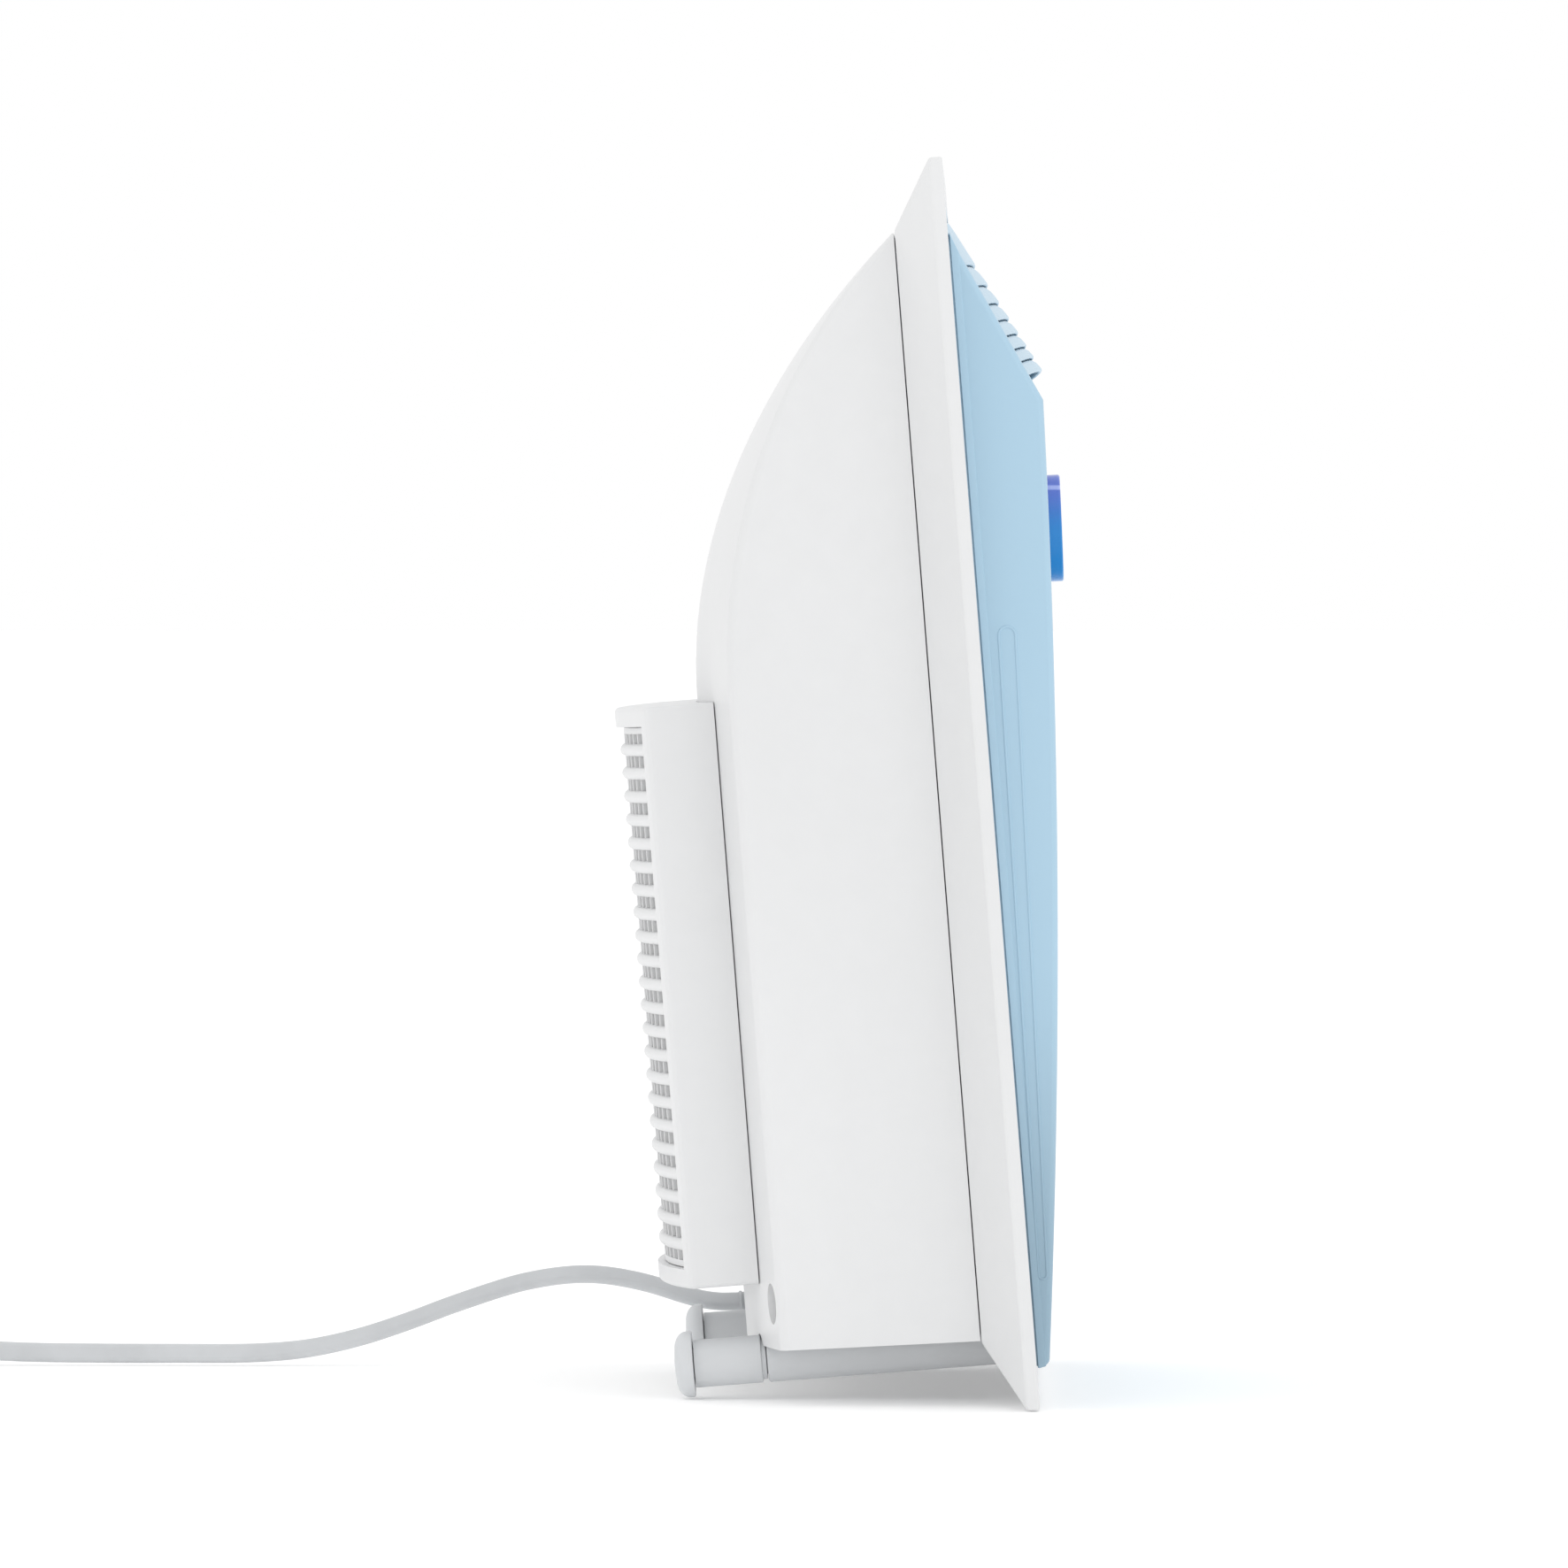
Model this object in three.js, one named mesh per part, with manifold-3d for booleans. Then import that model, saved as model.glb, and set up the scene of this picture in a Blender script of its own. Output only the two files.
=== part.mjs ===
// A table-standing ionising air purifier, in millimetres, +Z up.
// Air is drawn in through the grille and filter at the back, pushed forward by an axial fan, led up past a
// discharge comb and blown out of the slanted louver at the top of the front cover. A white frame carries the
// blue front cover and the white rear shell, and the unit leans back on the frame's lower edge and two rear legs.
// The unit is modelled upright, with y = 0 on the frame's front plane, +Y to the rear and z = 0 at the frame's
// lower edge, and is then leaned back as a whole. The cord lies on the table, in the leaned frame.

import * as THREE from "three";
import { mergeVertices } from "three/addons/utils/BufferGeometryUtils.js";
import Module from "manifold-3d";

const wasm = await Module();
wasm.setup();

// ---------------------------------------------------------------- driving dimensions

const GAP = 0.3; // between pieces that touch
const WALL = 2.2; // moulded housing wall
const LEAN = THREE.MathUtils.degToRad(4.5); // backward lean on the table

// Front frame
const FRAME_WIDTH = 220;
const FRAME_HEIGHT = 321;
const RIM_DEPTH = 3.3;
const FLARE_DEPTH = 10.3; // from the rim back to the shell
const FLARE_INSET = 17.3; // from the rim inward to the shell
const FLARE_SKIN = 2;
const BORDER = 10; // front border around the cover
const SEAT = 3.4; // flat landing that the shell butts against

// Rear shell
const SHELL_STEP = 0.7; // the shell's side stands this far inside the flare's end
const SHELL_DEPTH = 65; // rear edge of the side faces
const SHELL_CROWN = 10.6; // rise of the back at its middle
const SHELL_BOTTOM = 17.4;
const SHELL_BOTTOM_DRAFT = THREE.MathUtils.degToRad(1.6);
const SHELL_STRAIGHT = 187; // above this height the back curves forward to the frame
const SHELL_EDGE = 1.6; // rounding between the side and the back
const SHELL_TOP_DROP = 17.4; // from the frame's top down to the shell's top
const CROWN_FADE = 4.5; // how fast the crown fades as the back turns forward

// Front cover
const COVER_CLEARANCE = 0.6; // to the frame's border, all round
const COVER_SKIRT = 6; // how far it reaches into the frame
const COVER_TOP_DROP = 19.2; // from the frame's top down to where the slant runs out
const COVER_LOW = 3.3; // depth at its lower end
const COVER_HIGH = 21; // depth under the slanted top
const COVER_BULGE = 2.9; // rise of the front over a straight line
const SLANT_HEIGHT = 44.5; // of the slanted top
const STRIP_DEPTH = 2.5; // bevelled base strip
const STRIP_WIDER = 0.5;
const COVER_EDGE = 1.6; // rounding of the cover's long edges

// Outlet louver, measured down the slant from its upper edge
const LOUVER_LENGTH = 45.8;
const LOUVER_MARGIN = 12; // from the cover's side to the louver
const LOUVER_RAIL = 4;
const LOUVER_THICK = 2.4;
const LOUVER_TOP_BAR = 13.2;
const LOUVER_SLATS = 7;
const LOUVER_FIRST_STEP = 6.1; // each step is shorter than the one above it
const LOUVER_STEP_RATIO = 0.9;
const LOUVER_STEP = 0.8; // each shingle's upper end lies this far under the skin
const LOUVER_PROUD_TOP = 2.4; // how far its middle stands out of the cheeks
const LOUVER_PROUD_END = 4.6;
const LOUVER_RIBS = 3;

// Power button, on the front cover
const BUTTON_HEIGHT = 224.7;
const BUTTON_RADIUS = 14.1;
const BUTTON_PROUD = 3.7;
const BUTTON_FLANGE = 1.8; // retaining flange, wider than the hole
const BUTTON_TRAVEL = 1.5;
const SWITCH_SIZE = 12;
const SWITCH_DEPTH = 4.3;
const BOARD_THICK = 1.6;
const CONTROL_BOARD_WIDTH = 64;
const CONTROL_BOARD_HEIGHT = 46;

// Filter cover with its intake grille, at the back
const FILTER_COVER_WIDTH = 138;
const FILTER_COVER_BOTTOM = 35.5;
const FILTER_COVER_HEIGHT = 151;
const FILTER_COVER_REAR = SHELL_DEPTH + 32.6;
const FILTER_COVER_CROWN = 9.8;
const FILTER_RAIL = 5;
const SKIRT_WALL = 1.5;
const SKIRT_REACH = 10; // into the shell
const SLATS = 22;
const SLAT_THICK = 3.2;
const SLAT_DEPTH = 3.4;
const SLAT_SET_BACK = 0.7;
const GRILLE_RIBS = 3;
const GRILLE_RIB_WIDTH = 1.6;
const GRILLE_RIB_DEPTH = 3.6;
const GRILLE_RIB_SET_BACK = 2;
const GRILLE_BORDER = 1.6;
const FILTER_DEPTH = 18;
const FILTER_FRAME_WALL = 2.4;
const PLEATS = 22;

// Chassis plate and fan
const CHASSIS_FRONT = 30;
const CHASSIS_THICK = 2.4;
const CHASSIS_BOTTOM = 42;
const FAN_SIZE = 120;
const FAN_DEPTH = 25;
const FAN_CENTRE_HEIGHT = 111;
const FAN_TIP_CLEARANCE = 1.2;
const FAN_HUB_RADIUS = 20;
const FAN_BLADES = 7;
const FAN_SCREW_PITCH = 105;
const SHAFT_RADIUS = 1.5;

// Boards and discharge unit
const POWER_BOARD_WIDTH = 68;
const POWER_BOARD_HEIGHT = 50;
const STANDOFF = 3;
const HV_MODULE = { width: 48, depth: 14, height: 46 };
const COMB_TEETH = 13;

// Legs
const LEG_SPACING = 120;
const LEG_RADIUS = 6.2;
const LEG_SPIGOT_RADIUS = 4;
const LEG_SOCKET_REAR = SHELL_DEPTH + 4.5;
const LEG_GROOVE = 1.4;
const LEG_HEAD_FRONT = LEG_SOCKET_REAR + 19.2;
const LEG_HEAD_RADIUS = 8.6;
const LEG_HEAD_DEPTH = 4.7;
const LEG_SPIGOT_LENGTH = 38;

// Screws
const CASE_SCREW_INSET = 8; // from the shell's side
const CASE_SCREW_HEIGHT = 31;
const POCKET_RADIUS = 5.3;
const POCKET_WALL = 1.6;
const POCKET_FLOOR = SHELL_DEPTH - 7; // where the screw head seats
const SCREW_RADIUS = 1.3;
const SCREW_HEAD_RADIUS = 3;
const SCREW_HEAD_HEIGHT = 2;
const POST_RADIUS = 4;

// Cord
const CORD_DIAMETER = 5.2;
const CORD_SIDE = 74.5; // where it leaves the shell, from the middle
const CORD_HEIGHT = 23.4;
const RELIEF_INNER = 36; // inner and outer end of the strain relief
const RELIEF_OUTER = SHELL_DEPTH + 14;
const COIL_RADIUS = 30.1; // to the middle of the turns
const COIL_WIDTH = 15.6;
const COIL_THICK = 11.5;
const COIL_LIFT = 1.4; // the tie passes under the turns
const COIL_CENTRE = [44.4, 272];
const TIE_THICK = 0.9;
const TIE_WIDTH = 9;
const PLUG = { length: 37, width: 35, thickness: 14, nose: 13 };
const PIN_RADIUS = 2;
const PIN_LENGTH = 19;
const PIN_PITCH = 19;

// ---------------------------------------------------------------- geometry helpers

const X = new THREE.Vector3(1, 0, 0);
const Y = new THREE.Vector3(0, 1, 0);
const Z = new THREE.Vector3(0, 0, 1);

// A closed geometry as a solid that can be joined and cut.
function solid(geometry) {
  const bare = geometry.index ? geometry.toNonIndexed() : geometry.clone();
  bare.deleteAttribute("normal");
  bare.deleteAttribute("uv");
  const merged = mergeVertices(bare, 1e-3);
  return new wasm.Manifold(
    new wasm.Mesh({
      numProp: 3,
      vertProperties: merged.attributes.position.array,
      triVerts: new Uint32Array(merged.index.array),
    }),
  );
}

function geometryOf(made) {
  const mesh = made.getMesh();
  const geometry = new THREE.BufferGeometry();
  geometry.setAttribute("position", new THREE.BufferAttribute(mesh.vertProperties, 3));
  geometry.setIndex(new THREE.BufferAttribute(mesh.triVerts, 1));
  return geometry;
}

function join(...geometries) {
  return geometryOf(geometries.map(solid).reduce((all, next) => all.add(next)));
}

function cut(geometry, ...tools) {
  return geometryOf(tools.map(solid).reduce((rest, tool) => rest.subtract(tool), solid(geometry)));
}

function common(a, b) {
  return geometryOf(solid(a).intersect(solid(b)));
}

function box(x0, x1, y0, y1, z0, z1) {
  return new THREE.BoxGeometry(x1 - x0, y1 - y0, z1 - z0).translate(
    (x0 + x1) / 2,
    (y0 + y1) / 2,
    (z0 + z1) / 2,
  );
}

function shapeOf(outline, holes = []) {
  const shape = new THREE.Shape(outline.map(([a, b]) => new THREE.Vector2(a, b)));
  for (const hole of holes) shape.holes.push(new THREE.Path(hole.map(([a, b]) => new THREE.Vector2(a, b))));
  return shape;
}

// An outline of [y, z] points, extruded from x0 to x1. With a bevel, its ends are rounded inside those sizes.
function alongX(outline, x0, x1, bevel = 0) {
  const geometry = new THREE.ExtrudeGeometry(shapeOf(outline), {
    depth: x1 - x0 - 2 * bevel,
    bevelEnabled: bevel > 0,
    bevelThickness: bevel,
    bevelSize: bevel,
    bevelOffset: -bevel,
    bevelSegments: 2,
  });
  return geometry.applyMatrix4(new THREE.Matrix4().makeBasis(Y, Z, X)).translate(x0 + bevel, 0, 0);
}

// An outline of [x, z] points, with holes, extruded from y0 to y1.
function alongY(outline, y0, y1, holes = []) {
  const extent = { depth: y1 - y0, bevelEnabled: false };
  const geometry = new THREE.ExtrudeGeometry(shapeOf(outline, holes), extent);
  return geometry.rotateX(Math.PI / 2).translate(0, y1, 0);
}

// An outline of [x, y] points, with holes, extruded from z0 to z1.
function alongZ(outline, z0, z1, holes = []) {
  const extent = { depth: z1 - z0, bevelEnabled: false };
  const geometry = new THREE.ExtrudeGeometry(shapeOf(outline, holes), extent);
  return geometry.translate(0, 0, z0);
}

function rectangle(a0, a1, b0, b1) {
  return [
    [a0, b0],
    [a1, b0],
    [a1, b1],
    [a0, b1],
  ];
}

function circle(a, b, radius, sides = 32) {
  return Array.from({ length: sides }, (_, i) => {
    const turn = (2 * Math.PI * i) / sides;
    return [a + radius * Math.sin(turn), b + radius * Math.cos(turn)];
  });
}

// A profile of [radius, y] points, from low y to high y, turned about the line through (x, z) along Y.
function turned(profile, x = 0, z = 0, sides = 24) {
  const points = profile.map(([r, y]) => new THREE.Vector2(r, y));
  return new THREE.LatheGeometry(points, sides).translate(x, 0, z);
}

function rod(radius, y0, y1, x, z, sides = 16) {
  return turned([[0, y0], [radius, y0], [radius, y1], [0, y1]], x, z, sides);
}

// A skin through rings of [x, y, z] points, closed by a flat face at each end.
function loft(rings) {
  const points = rings.flat();
  const n = rings[0].length;
  const faces = [];
  for (let r = 0; r + 1 < rings.length; r++) {
    for (let i = 0; i < n; i++) {
      const [a, b] = [r * n + i, r * n + ((i + 1) % n)];
      faces.push([a, b, b + n], [a, b + n, a + n]);
    }
  }
  const last = (rings.length - 1) * n;
  for (let i = 1; i + 1 < n; i++) faces.push([0, i + 1, i], [last, last + i, last + i + 1]);
  return faced(points, faces);
}

// A closed profile of [inset, y] points carried round a rectangle, such as a picture frame's.
function frameRing(width, height, bottom, profile) {
  const corners = profile.map(([inset, y]) => [
    [-width / 2 + inset, y, bottom + inset],
    [width / 2 - inset, y, bottom + inset],
    [width / 2 - inset, y, bottom + height - inset],
    [-width / 2 + inset, y, bottom + height - inset],
  ]);
  const n = profile.length;
  const faces = [];
  for (let p = 0; p < n; p++) {
    for (let c = 0; c < 4; c++) {
      const [a, b] = [p * 4 + c, p * 4 + ((c + 1) % 4)];
      const [d, e] = [((p + 1) % n) * 4 + c, ((p + 1) % n) * 4 + ((c + 1) % 4)];
      faces.push([a, b, e], [a, e, d]);
    }
  }
  return faced(corners.flat(), faces);
}

// Points and triangles as a geometry whose faces point outwards.
function faced(points, faces) {
  const at = points.map((p) => new THREE.Vector3(...p));
  const volume = faces.reduce(
    (sum, [a, b, c]) => sum + at[a].dot(new THREE.Vector3().crossVectors(at[b], at[c])),
    0,
  );
  const index = faces.flatMap(([a, b, c]) => (volume < 0 ? [a, c, b] : [a, b, c]));
  const geometry = new THREE.BufferGeometry();
  geometry.setAttribute("position", new THREE.Float32BufferAttribute(points.flat(), 3));
  geometry.setIndex(index);
  return geometry;
}

// ---------------------------------------------------------------- the scene graph and its finishes

const purifier = new THREE.Group();
const unit = new THREE.Group(); // everything that leans back
const cordSet = new THREE.Group(); // what lies on the table
purifier.add(unit, cordSet);

const FINISHES = {
  white: { color: 0xe9ebec, roughness: 0.42, metalness: 0 },
  leg: { color: 0xd9dbde, roughness: 0.5, metalness: 0 },
  blue: { color: 0xaecbdd, roughness: 0.4, metalness: 0 },
  lens: { color: 0x1f86cf, roughness: 0.12, metalness: 0 },
  cord: { color: 0xcbcdd0, roughness: 0.5, metalness: 0 },
  dark: { color: 0x2b2d30, roughness: 0.55, metalness: 0 },
  board: { color: 0x1f6b45, roughness: 0.5, metalness: 0 },
  filter: { color: 0xdfe3e4, roughness: 0.95, metalness: 0 },
  metal: { color: 0xb9bcc0, roughness: 0.35, metalness: 1 },
  copper: { color: 0xb0703c, roughness: 0.4, metalness: 1 },
};

function add(name, geometry, finish, group = unit) {
  const mesh = new THREE.Mesh(geometry, new THREE.MeshStandardMaterial(FINISHES[finish]));
  mesh.name = name;
  group.add(mesh);
  return mesh;
}

const SIDES = [
  ["left", -1],
  ["right", 1],
];

// ---------------------------------------------------------------- rear shell outline

const shellFront = RIM_DEPTH + FLARE_DEPTH;
const shellHalf = FRAME_WIDTH / 2 - FLARE_INSET - SHELL_STEP;
const shellTop = FRAME_HEIGHT - SHELL_TOP_DROP;
const backRun = SHELL_DEPTH - shellFront;
const backRise = shellTop - SHELL_STRAIGHT;
const backRadius = (backRun ** 2 + backRise ** 2) / (2 * backRun);

// Rear edge of the side face at a height, for a skin that lies inset inside the outer one.
function sideRear(z, inset) {
  const up = Math.max(0, z - SHELL_STRAIGHT);
  return SHELL_DEPTH - backRadius + Math.sqrt((backRadius - inset) ** 2 - up ** 2);
}

// Height at which the inset skin has come forward to y.
function heightWhere(y, inset) {
  return SHELL_STRAIGHT + Math.sqrt((backRadius - inset) ** 2 - (y - SHELL_DEPTH + backRadius) ** 2);
}

// The back's rise over its side edge fades as the back turns forward.
function crownAt(x, z, half = shellHalf) {
  const turn = Math.asin(Math.min(1, Math.max(0, z - SHELL_STRAIGHT) / backRadius));
  return SHELL_CROWN * Math.cos(turn) ** CROWN_FADE * (1 - (x / half) ** 2);
}

function shellRing(z, inset, front) {
  const half = shellHalf - inset;
  const rear = sideRear(z, inset);
  const edge = Math.min(SHELL_EDGE, (rear - front) / 2);
  const steps = 12;
  const back = Array.from({ length: steps + 1 }, (_, i) => {
    const x = (half - edge * 0.6) * (1 - (2 * i) / steps);
    return [x, rear + crownAt(x, z, half), z];
  });
  return [[-half, front, z], [half, front, z], [half, rear - edge, z], ...back, [-half, rear - edge, z]];
}

function shellSolid(inset, front, bottom) {
  const top = heightWhere(front + 0.4, inset);
  const heights = [bottom, SHELL_STRAIGHT];
  const curveSteps = 9;
  const radius = backRadius - inset;
  const fullTurn = Math.asin((top - SHELL_STRAIGHT) / radius);
  for (let i = 1; i <= curveSteps; i++) {
    heights.push(SHELL_STRAIGHT + radius * Math.sin((fullTurn * i) / curveSteps));
  }
  return loft(heights.map((z) => shellRing(z, inset, front)));
}

// ---------------------------------------------------------------- legs' line

const headProfile = [
  [LEG_HEAD_RADIUS - 0.4, LEG_HEAD_FRONT],
  [LEG_HEAD_RADIUS, LEG_HEAD_FRONT + 0.4],
  [LEG_HEAD_RADIUS, LEG_HEAD_FRONT + 1.6],
  [LEG_HEAD_RADIUS - 0.9, LEG_HEAD_FRONT + 3.4],
  [LEG_HEAD_RADIUS - 2.8, LEG_HEAD_FRONT + LEG_HEAD_DEPTH - 0.7],
  [LEG_HEAD_RADIUS - 5, LEG_HEAD_FRONT + LEG_HEAD_DEPTH],
];
// The heads touch the table in the leaned position, together with the frame's lower edge.
const legHeight = Math.max(...headProfile.map(([r, y]) => r + y * Math.tan(LEAN)));

// ---------------------------------------------------------------- front frame

const screwX = shellHalf - CASE_SCREW_INSET;
const innerHalf = shellHalf - WALL;

function frontFrame() {
  const seatEnd = FLARE_INSET + SEAT;
  const ring = frameRing(FRAME_WIDTH, FRAME_HEIGHT, 0, [
    [0, 0],
    [0, RIM_DEPTH],
    [FLARE_INSET, shellFront],
    [seatEnd, shellFront],
    [seatEnd, shellFront - FLARE_SKIN],
    [FLARE_INSET + 0.6, shellFront - FLARE_SKIN],
    [FLARE_SKIN * 2, RIM_DEPTH],
    [FLARE_SKIN * 2, FLARE_SKIN],
    [BORDER, FLARE_SKIN],
    [BORDER, 0],
  ]);
  // A land at the lower edge, level when the frame leans.
  const land = box(-FRAME_WIDTH, FRAME_WIDTH, -20, 20, -20, 0).rotateX(LEAN);
  const parts = [ring];
  const holes = [land];
  for (const [, side] of SIDES) {
    const [near, far] = [side * (screwX - POST_RADIUS - 3), side * (shellHalf - 0.2)];
    parts.push(
      box(
        Math.min(near, far),
        Math.max(near, far),
        shellFront - FLARE_SKIN,
        shellFront,
        FLARE_INSET + 1,
        CASE_SCREW_HEIGHT + POST_RADIUS + 3,
      ),
      rod(POST_RADIUS, shellFront - 1, POCKET_FLOOR - WALL - GAP, side * screwX, CASE_SCREW_HEIGHT),
    );
    holes.push(
      rod(SCREW_RADIUS + GAP, POCKET_FLOOR - 26, POCKET_FLOOR, side * screwX, CASE_SCREW_HEIGHT, 12),
    );
  }
  return cut(join(...parts), ...holes);
}
add("front_frame", frontFrame(), "white");

// ---------------------------------------------------------------- rear shell

const openingHalf = FILTER_COVER_WIDTH / 2 - FILTER_RAIL;
const openingBottom = FILTER_COVER_BOTTOM + FILTER_RAIL;
const openingTop = FILTER_COVER_BOTTOM + FILTER_COVER_HEIGHT - FILTER_RAIL;
const chassisRear = CHASSIS_FRONT + CHASSIS_THICK;
const chassisTop = heightWhere(chassisRear, WALL) - FRAME_HEIGHT / 110; // clear of the shell's curve
const chassisHalf = innerHalf - GAP;
const ledgeX = innerHalf - 3;
const ledgeHeights = [CHASSIS_BOTTOM + 14, chassisTop - 36];
const LEDGE_DEPTH = 8;
const clampScrewX = CORD_SIDE - 7;
const clampTop = CORD_HEIGHT + 5;
const CLAMP_FRONT = 40;
const CLAMP_LENGTH = 8;

function rearShell() {
  const front = shellFront + GAP;
  const outer = shellSolid(0, front, SHELL_BOTTOM - 8);
  const hollow = shellSolid(WALL, front - 5, SHELL_BOTTOM - 8);
  // The bottom wall has a little draft, so it rises towards the back.
  const below = box(-FRAME_WIDTH, FRAME_WIDTH, -30, 200, -60, 0)
    .rotateX(SHELL_BOTTOM_DRAFT)
    .translate(0, 0, SHELL_BOTTOM);
  const inside = cut(hollow, below.clone().translate(0, 0, WALL));
  let body = cut(outer, below, inside);

  const extras = [];
  for (const [, side] of SIDES) {
    extras.push(
      rod(
        POCKET_RADIUS + POCKET_WALL,
        POCKET_FLOOR - WALL,
        SHELL_DEPTH + 20,
        side * screwX,
        CASE_SCREW_HEIGHT,
      ),
    );
    for (const z of ledgeHeights) {
      const [a, b] = [side * (ledgeX - 3), side * (innerHalf + WALL / 2)];
      extras.push(
        box(Math.min(a, b), Math.max(a, b), chassisRear + GAP, chassisRear + GAP + LEDGE_DEPTH, z - 4, z + 4),
      );
    }
  }
  const clampPost = alongZ(
    circle(clampScrewX, CLAMP_FRONT + CLAMP_LENGTH / 2, 2.7, 12),
    SHELL_BOTTOM + 1,
    clampTop - 2 - GAP,
  );
  extras.push(clampPost);
  body = join(body, ...extras.map((piece) => common(piece, cut(outer, below))));

  const holes = [
    box(-openingHalf, openingHalf, CHASSIS_FRONT + 20, SHELL_DEPTH + 40, openingBottom, openingTop),
  ];
  for (const [, side] of SIDES) {
    holes.push(
      rod(POCKET_RADIUS, POCKET_FLOOR, SHELL_DEPTH + 40, side * screwX, CASE_SCREW_HEIGHT),
      rod(SCREW_RADIUS + GAP, POCKET_FLOOR - 10, POCKET_FLOOR + 1, side * screwX, CASE_SCREW_HEIGHT, 12),
      rod(LEG_RADIUS + GAP, 0, SHELL_DEPTH + 40, side * (LEG_SPACING / 2), legHeight, 24),
    );
    for (const z of ledgeHeights) {
      holes.push(rod(SCREW_RADIUS + GAP, CHASSIS_FRONT, 60, side * ledgeX, z, 12));
    }
  }
  holes.push(
    rod(3 + GAP, RELIEF_INNER - GAP, SHELL_DEPTH + 40, CORD_SIDE, CORD_HEIGHT),
    alongZ(
      circle(clampScrewX, CLAMP_FRONT + CLAMP_LENGTH / 2, SCREW_RADIUS + GAP, 12),
      SHELL_BOTTOM + 4,
      clampTop,
    ),
  );
  return cut(body, ...holes);
}
add("rear_shell", rearShell(), "white");

// ---------------------------------------------------------------- front cover and louver

const coverHalf = FRAME_WIDTH / 2 - BORDER - COVER_CLEARANCE;
const coverBottom = BORDER + COVER_CLEARANCE;
const coverRim = FRAME_HEIGHT - BORDER - COVER_CLEARANCE;
const coverTop = FRAME_HEIGHT - COVER_TOP_DROP;
const slantFoot = coverTop - SLANT_HEIGHT;

// How far the front stands before y = 0 at a height, below the slanted top.
function coverDepth(z) {
  const share = (z - coverBottom) / (slantFoot - coverBottom);
  return COVER_LOW + (COVER_HIGH - COVER_LOW) * share + COVER_BULGE * 4 * share * (1 - share);
}

// The cover's side outline, as [y, z], inset on its front, slanted and lower faces, with its open back at y.
function coverOutline(inset, back) {
  const steps = 14;
  const slant = Math.hypot(COVER_HIGH, SLANT_HEIGHT);
  const along = inset * ((slant - COVER_HIGH) / SLANT_HEIGHT); // where the inset slant meets the inset front
  const front = Array.from({ length: steps + 1 }, (_, i) => {
    const z = coverBottom + inset + ((slantFoot - along - coverBottom - inset) * i) / steps;
    return [-(coverDepth(z) - inset), z];
  });
  const slantTop = coverTop - (inset * (slant - SLANT_HEIGHT)) / COVER_HIGH;
  return [
    [back, coverBottom + inset],
    ...front,
    [inset, slantTop],
    [inset, coverRim - inset],
    [back, coverRim - inset],
  ];
}

// Places in the louver's plane: s runs down the slant, out stands off it; both as [y, z].
const slantAngle = Math.atan2(SLANT_HEIGHT, COVER_HIGH);
function onSlant(s, out) {
  const [down, off] = [Math.sin(slantAngle), Math.cos(slantAngle)];
  return [-(s * off + out * down), coverTop - s * down + out * off];
}
const louverHalf = coverHalf - LOUVER_MARGIN;
const louverStart = -4.2;
const louverEnd = louverStart + LOUVER_LENGTH;
const louverHead = onSlant(louverStart, LOUVER_PROUD_TOP)[1] + GAP; // top of the hole in the cover
const endSlope = COVER_HIGH / SLANT_HEIGHT; // the louver's lower end is level with the table

// Height of the louver's skin over the cheeks: crowned across, and prouder towards its lower end.
function louverProud(x, s) {
  const share = (s - louverStart) / LOUVER_LENGTH;
  const middle = LOUVER_PROUD_TOP + (LOUVER_PROUD_END - LOUVER_PROUD_TOP) * share;
  return middle * (1 - (x / louverHalf) ** 2);
}

// A bar across the louver whose section is [s, depth under the skin] points.
function louverBar(section, half) {
  const steps = 6;
  const rings = Array.from({ length: steps + 1 }, (_, i) => {
    const x = -half + (2 * half * i) / steps;
    return section.map(([s, under]) => [x, ...onSlant(s, louverProud(x, s) - under)]);
  });
  return loft(rings);
}

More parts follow.
